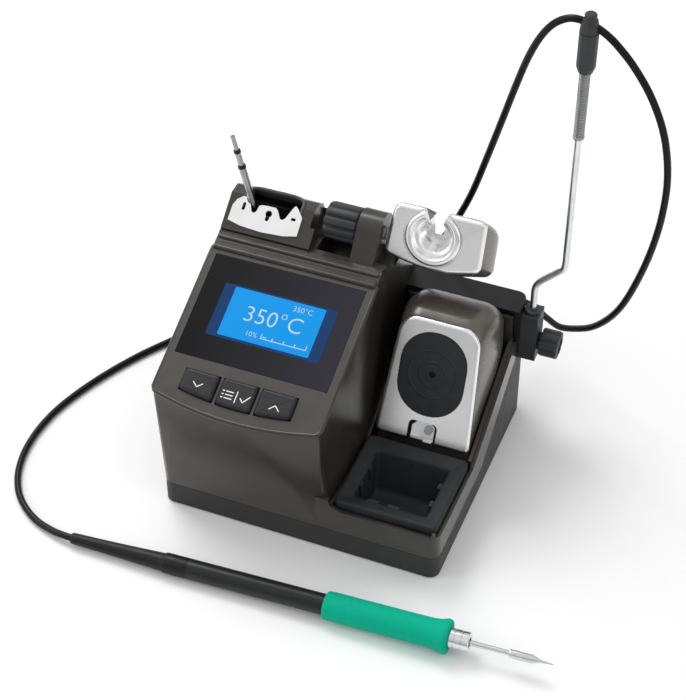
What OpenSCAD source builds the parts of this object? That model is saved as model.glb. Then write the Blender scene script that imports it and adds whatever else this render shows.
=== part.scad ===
/* [Casing] */
// Width of the base, left to right
body_w = 165; // [155:1:200]
// Depth of the base, front to rear
body_d = 150; // [140:1:185]
// Corner radius of the base in plan
corner_r = 6; // [4:0.5:9]
// Wall of both casing shells
wall = 2.5; // [2:0.1:3]
// Height of the lower shell's edge at the front
split_h = 16; // [13:1:20]
// Height of the rear housing
rear_h = 88; // [80:1:90]
// Depth of the rear housing
rear_d = 18; // [16:1:24]
// Gap in the joint between the two shells
split_gap = 0.3; // [0.2:0.05:0.5]

/* [Console] */
// Height of the front lip below the panel
lip_h = 86; // [80:1:95]
// Slope of the panel from the horizontal, degrees
panel_tilt = 23; // [18:1:28]
// Length of the panel up its slope
panel_len = 91; // [88:1:100]
// Thickness of the panel frame
frame_t = 3; // [2.5:0.1:4]
// Width of the display glass
glass_w = 90; // [80:1:95]
// Length of the display glass up the slope
glass_len = 63.5; // [58:0.5:66]
// Width of one key
key_w = 20.5; // [18:0.5:21]
// Travel of a key
key_travel = 1; // [0.5:0.1:1.2]
// Gap round a key in its window
key_gap = 0.3; // [0.2:0.05:0.5]

/* [Bay] */
// Inside width of the bay that holds the tray and the cleaner
bay_w = 61; // [58:1:66]
// Height of the bay's front wall
bay_front_h = 32.5; // [28:0.5:36]
// Height of the bay's right wall at its rear
bay_rear_h = 66; // [55:1:72]
// Height of the bay's floor
bay_floor_h = 8; // [7:0.5:10]
// Depth of the waste tray
tray_d = 56; // [50:1:60]
// Height of the tray's rim
tray_h = 37; // [35:0.5:38]
// Width of the tray's flat rim
tray_rim = 8; // [5:0.5:10]

/* [Cleaner] */
// Lean of the cleaner's front from the vertical, degrees
cleaner_lean = 23; // [18:1:28]
// Length of the cleaner's front up its slope
cleaner_len = 73; // [68:1:76]
// Width of the cleaner's front at its foot
cleaner_w = 56; // [52:1:57]
// Height of the oval membrane
membrane_len = 50; // [44:1:52]
// Width of the oval membrane
membrane_w = 39; // [34:1:41]

/* [Tool holder] */
// Diameter of the pivot pin
pivot_d = 8; // [6:0.5:9]
// Running clearance of the pivot pin, radial
pivot_gap = 0.05; // [0.02:0.01:0.1]
// Radius of the pivot column's round head
column_r = 11.5; // [10:0.5:12]
// Radius of the clamp knob
knob_r = 10.8; // [9:0.1:11]
// Width of the holder's face
holder_w = 56; // [50:1:57]
// Outer radius of the ring on the face
ring_r = 16.4; // [14:0.2:17]
// Radius of the bore through the holder's funnel
funnel_r = 5.5; // [4.5:0.1:6.5]

/* [Cable arm] */
// Diameter of the arm's rod
rod_d = 4; // [3:0.5:5]
// Sideways crank of the rod
rod_crank = 16; // [10:1:20]
// Height of the top of the rod
rod_top = 208; // [180:1:220]
// Length of the coil spring on the rod
spring_len = 42; // [35:1:50]
// Length of the cable clip
clip_len = 32; // [28:1:36]

/* [Soldering iron] */
// Diameter of the handle's tube
tube_d = 11.6; // [10:0.2:13]
// Diameter of the foam grip at the flare
flare_d = 19.4; // [17:0.2:20]
// Length of the strain relief
relief_len = 71; // [60:1:75]
// Length of the handle's tube that shows
tube_len = 80; // [70:1:90]
// Length of the grip
grip_len = 70; // [60:1:80]
// Diameter of the cord
cord_d = 4; // [3.5:0.5:5]

/* [Hidden] */
$fn = 48;

half_w = body_w / 2;
half_d = body_d / 2;
base_z = 1;                                // underside of the lower shell, above the feet
flare = 2.5;                               // the console is this much wider than the base

bay_x1 = half_w - 2;
bay_x0 = bay_x1 - bay_w;
bay_y0 = -half_d + 2.2;
bay_y1 = half_d - rear_d - wall - 0.5;
bay_cx = (bay_x0 + bay_x1) / 2;

console_l = -half_w - flare;
console_r = bay_x0 - 6.5;
lip_y = -half_d + 2;
lip_rise = 6.6;                            // how far the lip bulges forward
lip_span = console_r - console_l;
lip_cx = (console_r + console_l) / 2;
lip_r = (pow(lip_span / 2, 2) + pow(lip_rise, 2)) / (2 * lip_rise);
panel_top_y = lip_y + panel_len * cos(panel_tilt);
panel_top_z = lip_h + panel_len * sin(panel_tilt);

glass_v = 24;                              // from the lip up to the glass
glass_x = console_l + 3.8;
glass_t = 1.4;
lcd_w = 54;
lcd_len = 30;
lcd_x = glass_x + 18.6;
lcd_v = glass_v + 16.6;
window_edge = 6.5;                         // dark border round the lit area
key_top_v = glass_v - 7.4;
key_x = console_l + 14.3;
key_pitch = 22.7;
key_arc = 7;                               // from the lip to the keys' lower edges
key_proud = 1.6;
key_flange = 0.8;
key_drop = key_travel + 0.3;

pivot_y = panel_top_y + 32.2;
pivot_z = panel_top_z + 12.4;
shelf_z = panel_top_z + 3.4;               // top of the casing behind the panel
block_r = console_r - 44.5;                // right end of the tip block
column_x0 = block_r + 24;
column_x1 = column_x0 + 13.8;
plate_y = panel_top_y + 15.2;
plate_z = panel_top_z + 8.4;
plate_tilt = 38;
plate_x0 = console_l + 3;
plate_x1 = block_r - 8.5;
plate_t = 1.2;
spare_x = plate_x0 + 13.2;
spare_y = plate_y + 8.2;
spare_z = plate_z - 3;
spare_lean = 14;
spare_clear = 2.6;

holder_cx = column_x1 + 28.8;
holder_lean = 20;
face_t = 4;
face_lo = -13.5;
face_hi = 20.5;
ring_v = 5;
holder_sweep = 18.4;                       // reach of the holder's lower left corner

cleaner_y = bay_y0 + tray_d + 2.8;
cleaner_z = tray_h + 1;
membrane_v = 41.7;
front_t = 3;

arm_x = half_w + 5;
arm_y = half_d - 7;
arm_z0 = 50;
arm_z1 = 82;
arm_axis_z = 61;
rod_x = arm_x + rod_crank;
clip_z = rod_top + spring_len;

// Places in X and Z of the fittings in the rear wall
inlet_x = -55;
inlet_z = 28;
switch_x = -17;
switch_z = 28;
earth_x = 18;
earth_z = 28;
earth_r = 2;
socket_x = 62;
socket_z = 45;
socket_r = 9;

screw_x = half_w - 14;
screw_y = half_d - 14;
post_h = bay_floor_h - wall - 0.3;
core_x = -40;
core_y = 2;
core_z = 6;
foot_x = 34;                               // transformer screws, each side of its centre
foot_y = 16;

iron_x = -116;
iron_y = -124;
iron_z = 4.5;
iron_turn = 1.8;
iron_rise = 1.4;
collar_len = 11;

// Centres of the cord, chosen by hand: from the plug, up to the clip and down to the floor
station_route = [[62, 99.8, 45], [62, 105, 45], [63.5, 111, 45.2], [69, 115, 45], [77, 114, 43.5],
    [87, 107, 44], [97, 98, 48], [108, 91, 56], [119, 85, 66], [129, 80, 80], [137, 76, 97],
    [144, 73, 120], [149.5, 71, 145], [152.5, 70, 170], [152.5, 69.5, 195], [148, 69, 220],
    [139.5, 68.5, 241], [129, 68, 257.5], [120, 68, 269], [114.5, 68, 275],
    [110.5, 68, 278], [96.5, 68, 278], [90.5, 68.4, 276], [84.5, 69, 271.5], [78.5, 69.5, 263.5],
    [72.5, 70.5, 249.5], [66.5, 72, 229], [60, 74, 204.5], [52, 76.5, 175], [44, 79.5, 147],
    [35, 82.5, 123], [26, 86, 103.5], [16, 90, 85], [5, 94, 66.5], [-7, 97, 49], [-20, 99, 32.5],
    [-33, 100, 18.5], [-45, 100, 9], [-57, 99.5, 3.8], [-69, 98, 2.1], [-80, 95.5, 2]];
iron_route = [[-80, 95.5, 2], [-91, 91.5, 2], [-103, 84.5, 2], [-115, 75, 2], [-126, 62.5, 2],
    [-136, 47, 2], [-146, 31.5, 2], [-154.5, 16, 2], [-162, 0, 2], [-168.5, -17, 2],
    [-173.5, -35, 2], [-175.5, -52, 2], [-175, -67, 2], [-172.5, -80, 2], [-168, -92, 2],
    [-161, -103, 2], [-152, -111.5, 2], [-141.5, -118, 2.3], [-130, -122, 3.2],
    [-122, -123.6, 4.2], [-116, -124, 4.5]];

// ---------- shared shapes ----------

module rounded_square(w, d, r) {
    square([w - 2 * r, d], center = true);
    square([w, d - 2 * r], center = true);
    for (x = [-1, 1], y = [-1, 1]) translate([x * (w / 2 - r), y * (d / 2 - r)]) circle(r);
}

module block(low, high) {
    translate(low) cube(high - low);
}

module along_x(x0, x1) {
    translate([x0, 0, 0]) rotate([90, 0, 90]) linear_extrude(x1 - x0) children();
}

module rod_x(x0, x1, y, z, r) {
    translate([x0, y, z]) rotate([0, 90, 0]) cylinder(h = x1 - x0, r = r);
}

// A round tube swept along a list of points
function unit(v) = v / norm(v);
function heading(p, i) = unit(p[min(i + 1, len(p) - 1)] - p[max(i - 1, 0)]);
function sides(p, i, s) = let (h = heading(p, i), t = unit(s - (s * h) * h))
    i == len(p) - 1 ? [t] : concat([t], sides(p, i + 1, t));
function ring(c, h, s, r, n) = let (u = cross(s, h))
    [for (k = [0 : n - 1]) c + r * (cos(360 * k / n) * s + sin(360 * k / n) * u)];
module swept(p, r, n) {
    last = len(p) - 1;
    across = sides(p, 0, [0, 0, 1]);
    points = [for (i = [0 : last]) each ring(p[i], heading(p, i), across[i], r, n)];
    sides = [for (i = [0 : last - 1], k = [0 : n - 1])
        [i * n + k, i * n + (k + 1) % n, (i + 1) * n + (k + 1) % n, (i + 1) * n + k]];
    ends = [[for (k = [n - 1 : -1 : 0]) k], [for (k = [0 : n - 1]) last * n + k]];
    polyhedron(points, concat(sides, ends), convexity = 10);
}

module on_panel() {
    translate([0, lip_y, lip_h]) rotate([panel_tilt, 0, 0]) children();
}

module on_plate() {
    translate([0, plate_y, plate_z]) rotate([plate_tilt, 0, 0]) children();
}

// The holder's and the cleaner's own frames: X across, Z up the face, -Y out of it
module on_holder() {
    translate([0, pivot_y, pivot_z]) rotate([-holder_lean, 0, 0]) children();
}

module on_cleaner() {
    translate([bay_cx, cleaner_y, cleaner_z]) rotate([-cleaner_lean, 0, 0]) children();
}

// Extrudes an outline drawn in X and Z from y0 back to y1
module facing(y0, y1) {
    translate([0, y1, 0]) rotate([90, 0, 0]) linear_extrude(y1 - y0) children();
}

// ---------- casing ----------

// Side profile of the lower shell, drawn in Y and Z
module lower_profile(grow = 0) {
    polygon([[-half_d - 1, base_z], [half_d + 1, base_z], [half_d + 1, rear_h + grow],
        [half_d - rear_d - grow, rear_h + grow], [half_d - rear_d - grow, split_h + 36],
        [half_d - rear_d - 5, split_h + 34 + grow], [0, split_h + grow],
        [-half_d - 1, split_h + grow]]);
}

module lower_casing() {
    color("#434341") difference() {
        intersection() {
            linear_extrude(rear_h + 2) rounded_square(body_w, body_d, corner_r);
            along_x(-half_w, half_w) lower_profile();
        }
        difference() {
            translate([0, 0, base_z + wall]) linear_extrude(rear_h - base_z - 2 * wall)
                rounded_square(body_w - 2 * wall, body_d - 2 * wall, corner_r - wall);
            for (x = [-1, 1], y = [-1, 1]) translate([x * screw_x, y * screw_y, 0])
                cylinder(h = post_h, r = 4);
            for (x = [-1, 1], y = [-1, 1]) translate([core_x + x * foot_x, core_y + y * foot_y, 0])
                cylinder(h = core_z, r = 4);
        }
        block([inlet_x - 13.7, half_d - wall - 1, inlet_z - 9.9],
            [inlet_x + 13.7, half_d + 1, inlet_z + 17.2]);
        block([switch_x - 6.2, half_d - wall - 1, switch_z - 9.7],
            [switch_x + 6.2, half_d + 1, switch_z + 9.7]);
        for (x = [-1, 1]) translate([inlet_x + x * 20, half_d + 1, inlet_z]) rotate([90, 0, 0])
            cylinder(h = wall + 2, r = 1.7);
        translate([earth_x, half_d + 1, earth_z]) rotate([90, 0, 0]) cylinder(h = wall + 2, r = 5);
        translate([socket_x, half_d + 1, socket_z]) rotate([90, 0, 0])
            cylinder(h = wall + 2, r = socket_r);
        for (x = [-1, 1], y = [-1, 1]) translate([x * screw_x, y * screw_y, 0]) {
            cylinder(h = 9, r = 1.7);
            cylinder(h = base_z + 2.2, r = 3.6);
        }
        translate([half_w + 1, arm_y, arm_axis_z]) rotate([0, -90, 0])
            cylinder(h = wall + 2, r = 2.6);
        rod_x(half_w - wall - 4, half_w - wall, arm_y, arm_axis_z, 3.7);
        for (x = [-1, 1], y = [-1, 1])
            translate([core_x + x * foot_x, core_y + y * foot_y, base_z + 1])
                cylinder(h = core_z, r = 1.6);
        for (i = [0 : 5]) block([-60 + 8 * i, -10, 0], [-57 + 8 * i, 14, base_z + wall + 1]);
    }
}

// Solid outer form of the console, its left flank flared and its lip bowed
module console_form(inset) {
    hull() {
        translate([0, 0, split_h + 0.01]) linear_extrude(0.4) {
            translate([(-half_w + bay_x0) / 2, (-half_d + bay_y1) / 2])
                rounded_square(half_w + bay_x0 - 2 * inset, half_d + bay_y1 - 2 * inset,
                    corner_r - inset);
        }
        on_panel() translate([0, 0, -frame_t - 0.2 - inset - 0.4]) linear_extrude(0.4)
            panel_outline(inset);
        along_x(console_l + inset, console_r - inset)
            polygon([[panel_top_y + 8, shelf_z - inset], [pivot_y + 4, shelf_z - inset],
                [half_d - inset, rear_h + split_gap + inset], [pivot_y, rear_h]]);
    }
}

// Outline of the panel in its own plane: straight sides and top, bowed lip
module panel_outline(inset) {
    intersection() {
        translate([console_l + inset, -lip_rise]) square([lip_span - 2 * inset,
            panel_len + lip_rise - inset]);
        translate([lip_cx, lip_r - lip_rise]) circle(lip_r - inset, $fn = 240);
    }
}

module tip_block_form(inset) {
    along_x(console_l + inset, block_r - inset)
        polygon([[panel_top_y + 9, shelf_z - 8], [panel_top_y + 9 + inset, shelf_z + 0.4 - inset],
            [plate_y - 1 + inset, plate_z - 0.8 - inset],
            [plate_y + 13 + inset, plate_z + 10 - inset],
            [plate_y + 21 - inset, plate_z + 10 - inset],
            [plate_y + 26 - inset, plate_z + 6.5 - inset],
            [half_d - inset, rear_h + split_gap + inset / 2], [pivot_y, rear_h]]);
}

module column_form() {
    hull() {
        rod_x(column_x0, column_x1, pivot_y, pivot_z, column_r, $fn = 64);
        block([column_x0, panel_top_y + 9, shelf_z - 6], [column_x1, pivot_y + 14, shelf_z - 4]);
    }
}

// Side profile of the bay's right wall
module bay_profile() {
    polygon([[-half_d - 1, split_h + split_gap], [-half_d - 1, bay_front_h],
        [cleaner_y - 1, bay_front_h - 1.5], [bay_y1 - 9, bay_rear_h - 4],
        [bay_y1 + wall, bay_rear_h], [bay_y1 + wall, split_h], [0, split_h]]);
}

// Posts that the casing screws thread into, each joined to the wall beside it
module upper_posts() {
    for (y = [-screw_y, screw_y]) {
        translate([-screw_x, y, post_h + 0.3]) cylinder(h = 40, r = 4);
        block([-half_w + 1, y - 1, split_h + 4], [-screw_x, y + 1, split_h + 28]);
    }
    translate([screw_x, screw_y, post_h + 0.3]) cylinder(h = 25, r = 5.5);
}

module upper_casing() {
    color("#55514c") difference() {
        union() {
            difference() {
                union() {
                    console_form(0);
                    tip_block_form(0);
                }
                console_form(wall);
                tip_block_form(wall);
                // ledge that the panel frame rests on, and the frame's own pocket
                on_panel() translate([0, 0, -frame_t - 8]) linear_extrude(9) panel_outline(5.5);
                on_panel() translate([0, 0, -frame_t - 0.1]) linear_extrude(30) panel_outline(-0.1);
            }
            intersection() {
                console_form(0);
                rod_x(column_x1, console_r, pivot_y, pivot_z, holder_sweep + wall);
            }
            column_form();
            // wall beside the clamp knob, and the pocket below it
            intersection() {
                tip_block_form(0);
                block([block_r - 6, panel_top_y, shelf_z - 8], [block_r, half_d, plate_z + 20]);
            }
            block([block_r, panel_top_y + 12, shelf_z - 18], [column_x0 + 2, pivot_y + 13,
                shelf_z - 1]);
            intersection() {
                linear_extrude(bay_rear_h + 9) rounded_square(body_w, body_d, corner_r);
                union() {
                    along_x(bay_x0 - wall, half_w) bay_profile();
                    along_x(bay_x1 - 2, bay_x1) translate([0, 3]) bay_profile();
                }
            }
            block([bay_x0 - wall, bay_y0, bay_floor_h - wall], [bay_x1, bay_y1, split_h + 2]);
            block([bay_x0 - wall, bay_y1, bay_floor_h - wall],
                [half_w - wall - 0.3, bay_y1 + wall, rear_h - wall - 0.3]);
            upper_posts();
        }
        block([bay_x0, bay_y0, bay_floor_h], [bay_x1 - 2, bay_y1, rear_h + 40]);
        block([bay_x1 - 3, bay_y0, bay_floor_h], [bay_x1, cleaner_y, rear_h]);
        // room for the lower shell's wall and rear housing
        difference() {
            along_x(-half_w - 5, half_w + 5) lower_profile(split_gap);
            linear_extrude(rear_h - wall - 0.3) rounded_square(body_w - 2 * wall - 0.6,
                body_d - 2 * wall - 0.6, corner_r - wall);
        }
        // room for the fittings of the rear wall
        block([inlet_x - 14.5, half_d - 24, split_h - 1], [inlet_x + 14.5, half_d, inlet_z + 18]);
        block([switch_x - 7, half_d - 22, split_h - 1], [switch_x + 7, half_d, switch_z + 11]);
        block([earth_x - 6, half_d - 19, split_h - 1], [earth_x + 6, half_d, earth_z + 7]);
        // recess at the ridge's right end that the holder swings in
        rod_x(column_x1 + 0.2, console_r + 5, pivot_y, pivot_z, holder_sweep);
        on_spare() translate([0, 0, -9]) cylinder(h = 70, r = spare_clear);
        // pocket behind the tip plate
        on_plate() block([plate_x0 + 4, 0, -14], [plate_x1 - 2, 14, 20]);
        block([plate_x0 + 9, plate_y + 6, plate_z - 16],
            [plate_x1 - 2, plate_y + 19, plate_z + 20]);
        // round recess for the clamp knob, and the opening below it
        rod_x(block_r - 3, column_x0, pivot_y, pivot_z, knob_r + 0.8);
        block([block_r + 3, panel_top_y + 15, shelf_z - 15],
            [column_x0, pivot_y + 10, shelf_z + 20]);
        rod_x(column_x0 - 1, column_x1 + 1, pivot_y, pivot_z, pivot_d / 2 + pivot_gap);
        // twin grooves across the ridge
        for (i = [0, 1]) translate([0, panel_top_y + 6.5 + 4 * i, shelf_z - 0.7])
            block([console_l - 1, -0.5, 0], [console_r + 1, 0.5, 3]);
        for (x = [-1, 1], y = [-1, 1]) translate([x * screw_x, y * screw_y, 0])
            cylinder(h = base_z + 6.3, r = 1.6);
    }
}

module rubber_feet() {
    color("#202020") {
        for (x = [-1, 1], y = [-1, 1])
            translate([x * (screw_x - 16), y * (screw_y + 2), 0]) difference() {
                cylinder(h = base_z, r = 6);
                translate([0, 0, -1]) cylinder(h = 1.5, r = 2);
            }
        // plain pad at the centre, under the transformer's weight
        cylinder(h = base_z, r = 6);
    }
}

module casing_screws() {
    color("#b8bcc0") for (x = [-1, 1], y = [-1, 1])
        translate([x * screw_x, y * screw_y, base_z + 0.2]) difference() {
            union() {
                cylinder(h = 2, r = 3);
                cylinder(h = 5.8, r = 1.5);
            }
            translate([0, 0, -1]) cylinder(h = 2.2, r = 1.4, $fn = 6);
        }
}

// ---------- inside ----------

module transformer_core() {
    color("#5b5750") difference() {
        union() {
            block([core_x - 28, core_y - 24, core_z + 1.5], [core_x + 28, core_y + 24, core_z + 48]);
            block([core_x - 38, core_y - 20, core_z], [core_x + 38, core_y + 20, core_z + 2]);
        }
        for (x = [-1, 1], y = [-1, 1]) translate([core_x + x * foot_x, core_y + y * foot_y, 0])
            cylinder(h = core_z + 3, r = 1.7);
        for (s = [-1, 1]) block([core_x + s * 14 - 5.5, core_y - 25, core_z + 9],
            [core_x + s * 14 + 5.5, core_y + 25, core_z + 39]);
    }
}

module transformer_coil() {
    color("#c58b3c") difference() {
        block([core_x - 19, core_y - 33, core_z + 9.3], [core_x + 19, core_y + 33, core_z + 38.7]);
        block([core_x - 8.8, core_y - 24.3, core_z], [core_x + 8.8, core_y + 24.3, core_z + 50]);
        for (s = [-1, 1]) block([core_x + s * 14 + s * 5.2 - 2, core_y - 24.3, core_z],
            [core_x + s * 14 + s * 5.2 + 2, core_y + 24.3, core_z + 50]);
    }
}

module transformer_screws() {
    color("#b8bcc0") for (x = [-1, 1], y = [-1, 1])
        translate([core_x + x * foot_x, core_y + y * foot_y, 0]) {
            translate([0, 0, core_z + 2]) cylinder(h = 2, r = 3);
            translate([0, 0, base_z + 1.2]) cylinder(h = core_z, r = 1.5);
        }
}

module main_board() {
    color("#1f6b3a") {
        block([-60, -68, 12], [12, -40, 13.6]);
        block([-56, -66, 13.5], [-40, -46, 26]);
        block([-36, -64, 13.5], [-26, -50, 20]);
        for (x = [-54, 6], y = [-64, -44]) translate([x, y, base_z + wall])
            cylinder(h = 8.6, r = 2);
    }
}

module power_heat_sink() {
    color("#9a9da0") block([-22, -66, 13.6], [8, -63, 34]);
    color("#9a9da0") for (i = [0 : 4]) block([-22 + 7 * i, -63.1, 13.6], [-20 + 7 * i, -46, 34]);
}

// ---------- panel ----------

module key_outline(i, gap) {
    intersection() {
        translate([key_x + i * key_pitch - gap, -lip_rise])
            square([key_w + 2 * gap, key_top_v + lip_rise + gap]);
        translate([lip_cx, lip_r - lip_rise]) circle(lip_r - key_arc + gap, $fn = 240);
    }
}

module panel_frame() {
    color("#5a564f") on_panel() difference() {
        translate([0, 0, -frame_t]) linear_extrude(frame_t) panel_outline(0);
        translate([glass_x, glass_v, -glass_t - 0.2]) cube([glass_w, glass_len, 5]);
        translate([lcd_x - window_edge - 1, lcd_v - 2.5, -5])
            cube([lcd_w + 2 * window_edge + 2, lcd_len + 5, 9]);
        for (i = [0 : 2]) translate([0, 0, -5]) linear_extrude(9) key_outline(i, key_gap);
    }
}

module display_glass() {
    color([0.07, 0.07, 0.1, 0.6]) on_panel()
        translate([glass_x + 0.15, glass_v + 0.15, -glass_t - 0.2])
            cube([glass_w - 0.3, glass_len - 0.3, glass_t]);
}

module lcd_module() {
    color("#1080f0") on_panel() {
        translate([lcd_x, lcd_v, -frame_t + 0.4]) cube([lcd_w, lcd_len, 0.6]);
        translate([lcd_x - window_edge, lcd_v - 1.5, -frame_t - 6.2])
            cube([lcd_w + 2 * window_edge, lcd_len + 3, 6.7]);
    }
}

module key_board() {
    color("#1f6b3a") on_panel()
        translate([key_x - 3, 3.5, -frame_t - key_flange - key_drop - 1.8])
            cube([3 * key_pitch + 4, key_top_v + 1, 1.6]);
}

module key(i) {
    color("#3f3f41") on_panel() {
        translate([0, 0, -frame_t - 0.1]) linear_extrude(frame_t + key_proud) key_outline(i, 0);
        translate([0, 0, -frame_t - 0.1 - key_flange]) linear_extrude(key_flange)
            key_outline(i, key_gap + 0.35);
    }
}

module key_down() {
    key(0);
}

module key_menu() {
    key(1);
}

module key_up() {
    key(2);
}

// ---------- rear fittings ----------

module mains_inlet() {
    color("#1b1b1b") difference() {
        union() {
            block([inlet_x - 25, half_d, inlet_z - 12], [inlet_x + 25, half_d + 2, inlet_z + 19]);
            block([inlet_x - 13.5, half_d - 22, inlet_z - 9.7],
                [inlet_x + 13.5, half_d + 0.1, inlet_z + 17]);
        }
        block([inlet_x - 12, half_d - 16, inlet_z - 8], [inlet_x + 12, half_d + 3, inlet_z + 5]);
        block([inlet_x - 11.7, half_d - 16, inlet_z + 7.2],
            [inlet_x + 11.7, half_d + 3, inlet_z + 15.8]);
        for (x = [-1, 1]) translate([inlet_x + x * 20, half_d + 3, inlet_z]) rotate([90, 0, 0])
            cylinder(h = 4, r = 1.7);
    }
    color("#c9a24a") for (x = [-7, 0, 7])
        block([inlet_x + x - 1, half_d - 16.1, inlet_z - (x == 0 ? -0.5 : 4)],
            [inlet_x + x + 1, half_d - 4, inlet_z + (x == 0 ? 3.5 : 0)]);
}

module inlet_screws() {
    color("#b8bcc0") for (x = [-1, 1]) translate([inlet_x + x * 20, half_d + 2, inlet_z])
        rotate([90, 0, 0]) {
            translate([0, 0, -1.4]) cylinder(h = 1.4, r = 2.8);
            cylinder(h = 8, r = 1.5);
        }
}

module fuse_drawer() {
    color("#262626") difference() {
        union() {
            block([inlet_x - 11.4, half_d - 15.6, inlet_z + 7.5],
                [inlet_x + 11.4, half_d + 2, inlet_z + 15.5]);
            block([inlet_x - 4, half_d + 2, inlet_z + 10], [inlet_x + 4, half_d + 3.4, inlet_z + 13]);
        }
        block([inlet_x - 10, half_d - 14, inlet_z + 9], [inlet_x + 10, half_d - 2, inlet_z + 16]);
    }
}

module switch_body() {
    color("#1b1b1b") difference() {
        union() {
            block([switch_x - 7.6, half_d, switch_z - 11], [switch_x + 7.6, half_d + 2, switch_z + 11]);
            block([switch_x - 6, half_d - 20, switch_z - 9.5],
                [switch_x + 6, half_d + 0.1, switch_z + 9.5]);
        }
        block([switch_x - 5, half_d - 13, switch_z - 8.4], [switch_x + 5, half_d + 3, switch_z + 8.4]);
        rod_x(switch_x - 5.6, switch_x + 5.6, half_d - 2.5, switch_z, 1.05);
    }
}

module power_rocker() {
    color("#2b2b2b") {
        difference() {
            rod_x(switch_x - 4.7, switch_x + 4.7, half_d - 2.5, switch_z, 7.9);
            translate([switch_x, half_d + 12.6, switch_z]) rotate([0, 90, 0])
                cylinder(h = 12, r = 14, center = true);
            block([switch_x - 6, half_d - 12, switch_z - 9], [switch_x + 6, half_d - 5, switch_z + 9]);
        }
        rod_x(switch_x - 5.4, switch_x + 5.4, half_d - 2.5, switch_z, 1);
    }
}

module earth_socket() {
    color("#c9a24a") translate([earth_x, half_d, earth_z]) rotate([-90, 0, 0]) difference() {
        union() {
            cylinder(h = 4, r = 6.5);
            translate([0, 0, -18]) cylinder(h = 18.1, r = 4.9);
        }
        translate([0, 0, -16]) cylinder(h = 21, r = earth_r);
    }
}

module tool_socket() {
    color("#8d9094") translate([socket_x, half_d, socket_z]) rotate([-90, 0, 0]) difference() {
        union() {
            cylinder(h = 3, r = 11);
            translate([0, 0, -14]) cylinder(h = 14.1, r = socket_r - 0.1);
        }
        translate([0, 0, -8]) cylinder(h = 12, r = 7);
    }
}

module tool_plug() {
    color("#232323") translate([socket_x, half_d, socket_z]) rotate([-90, 0, 0]) {
        translate([0, 0, -7]) cylinder(h = 10.2, r = 6.9);
        translate([0, 0, 3.2]) cylinder(h = 13, r = 8.6);
        translate([0, 0, 16.1]) cylinder(h = 8.7, r1 = 5.5, r2 = 3);
    }
}

// ---------- tip changer ----------

module tip_plate_outline() {
    x0 = plate_x0;
    x1 = plate_x1;
    polygon([[x0, 0], [x0 + 0.3, 9], [x0 + 2, 12.5], [x0 + 5, 15], [x0 + 8, 15.4],
        [x0 + 9.4, 14], [x0 + 12.2, 7.6], [x0 + 14, 7.2], [x0 + 15, 8.6], [x0 + 15.6, 11.6],
        [x0 + 17, 12.6], [x0 + 25.4, 13], [x0 + 27, 11.8], [x0 + 29.6, 7.4], [x0 + 31, 7.1],
        [x0 + 32.4, 8.2], [x0 + 35.6, 15.6], [x0 + 36.6, 16.6], [x0 + 37.8, 15.8],
        [x1 - 0.6, 11.6], [x1, 10.6], [x1, 0], [x1 - 8, -1.8], [(x0 + x1) / 2, -2.6],
        [x0 + 8, -1.8]]);
}

module tip_plate() {
    color("#d8dadb") difference() {
        on_plate() difference() {
            linear_extrude(plate_t) tip_plate_outline();
            translate([plate_x0 + 22.5, 8.6, -1]) cylinder(h = 4, r = 1.9);
            translate([plate_x0 + 22.2, 5.4, -1]) cylinder(h = 4, r = 1.1);
            translate([plate_x0 + 21.2, 5.4, -1]) cube([2.2, 3, 4]);
            translate([plate_x0 + 7, 8.2, -1]) cylinder(h = 4, r = 0.9);
            translate([plate_x0 + 7, 11, -1]) cylinder(h = 4, r = 0.9);
            translate([plate_x0 + 6.1, 8.2, -1]) cube([1.8, 2.8, 4]);
            translate([plate_x0 + 36, 8, -1]) cube([2.6, 1.6, 4]);
        }
        on_spare() translate([0, 0, -9]) cylinder(h = 70, r = spare_clear);
    }
}

module tip_pocket() {
    color("#161616") difference() {
        block([plate_x0 + 9.3, plate_y + 6.3, plate_z - 15.7],
            [plate_x1 - 2.3, plate_y + 18.7, plate_z + 3]);
        block([plate_x0 + 10.7, plate_y + 7.7, plate_z - 14.3],
            [plate_x1 - 3.7, plate_y + 17.3, plate_z + 4]);
        on_plate() block([plate_x0 - 5, -30, -0.6], [plate_x1 + 5, 30, 40]);
        on_spare() translate([0, 0, -9]) cylinder(h = 70, r = spare_clear);
    }
}

module on_spare() {
    translate([spare_x, spare_y + 3, spare_z]) rotate([0, -spare_lean, 0]) children();
}

module spare_cartridge() {
    color("#9aa0a4") on_spare() {
        translate([0, 0, -8]) cylinder(h = 4.1, r1 = 0.5, r2 = 1.2);
        translate([0, 0, -4]) cylinder(h = 12, r = 1.2);
        translate([0, 0, 8]) cylinder(h = 26, r = 2.1);
        translate([0, 0, 36]) cylinder(h = 8, r = 1.7);
        translate([0, 0, 46]) cylinder(h = 9, r = 1.3);
    }
}

module spare_rings() {
    color("#1a1a1a") on_spare() {
        translate([0, 0, 34]) cylinder(h = 2, r = 2.3);
        translate([0, 0, 44]) cylinder(h = 2, r = 2);
    }
}

// ---------- tool holder ----------

module holder_pivot() {
    color("#b8bcc0") difference() {
        union() {
            rod_x(column_x0 - 6, column_x1 + 4, pivot_y, pivot_z, pivot_d / 2);
            rod_x(column_x1 + 4, column_x1 + 9, pivot_y, pivot_z, pivot_d / 2 + 2.5);
        }
        // flat on the lug, against the back of the face
        on_holder() block([column_x1 + 0.4, -20, -20], [column_x1 + 20, 0, 20]);
    }
}

module holder_knob() {
    color("#4a4a4c") difference() {
        rod_x(block_r + 3.5, column_x0 - 0.5, pivot_y, pivot_z, knob_r);
        for (a = [0 : 30 : 330]) translate([block_r + 2, pivot_y, pivot_z]) rotate([a, 0, 0])
            translate([0, 0, knob_r + 1.6]) rotate([0, 90, 0]) cylinder(h = 40, r = 2.6);
        rod_x(column_x0 - 7, column_x0, pivot_y, pivot_z, pivot_d / 2 + 0.1);
    }
}

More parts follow.
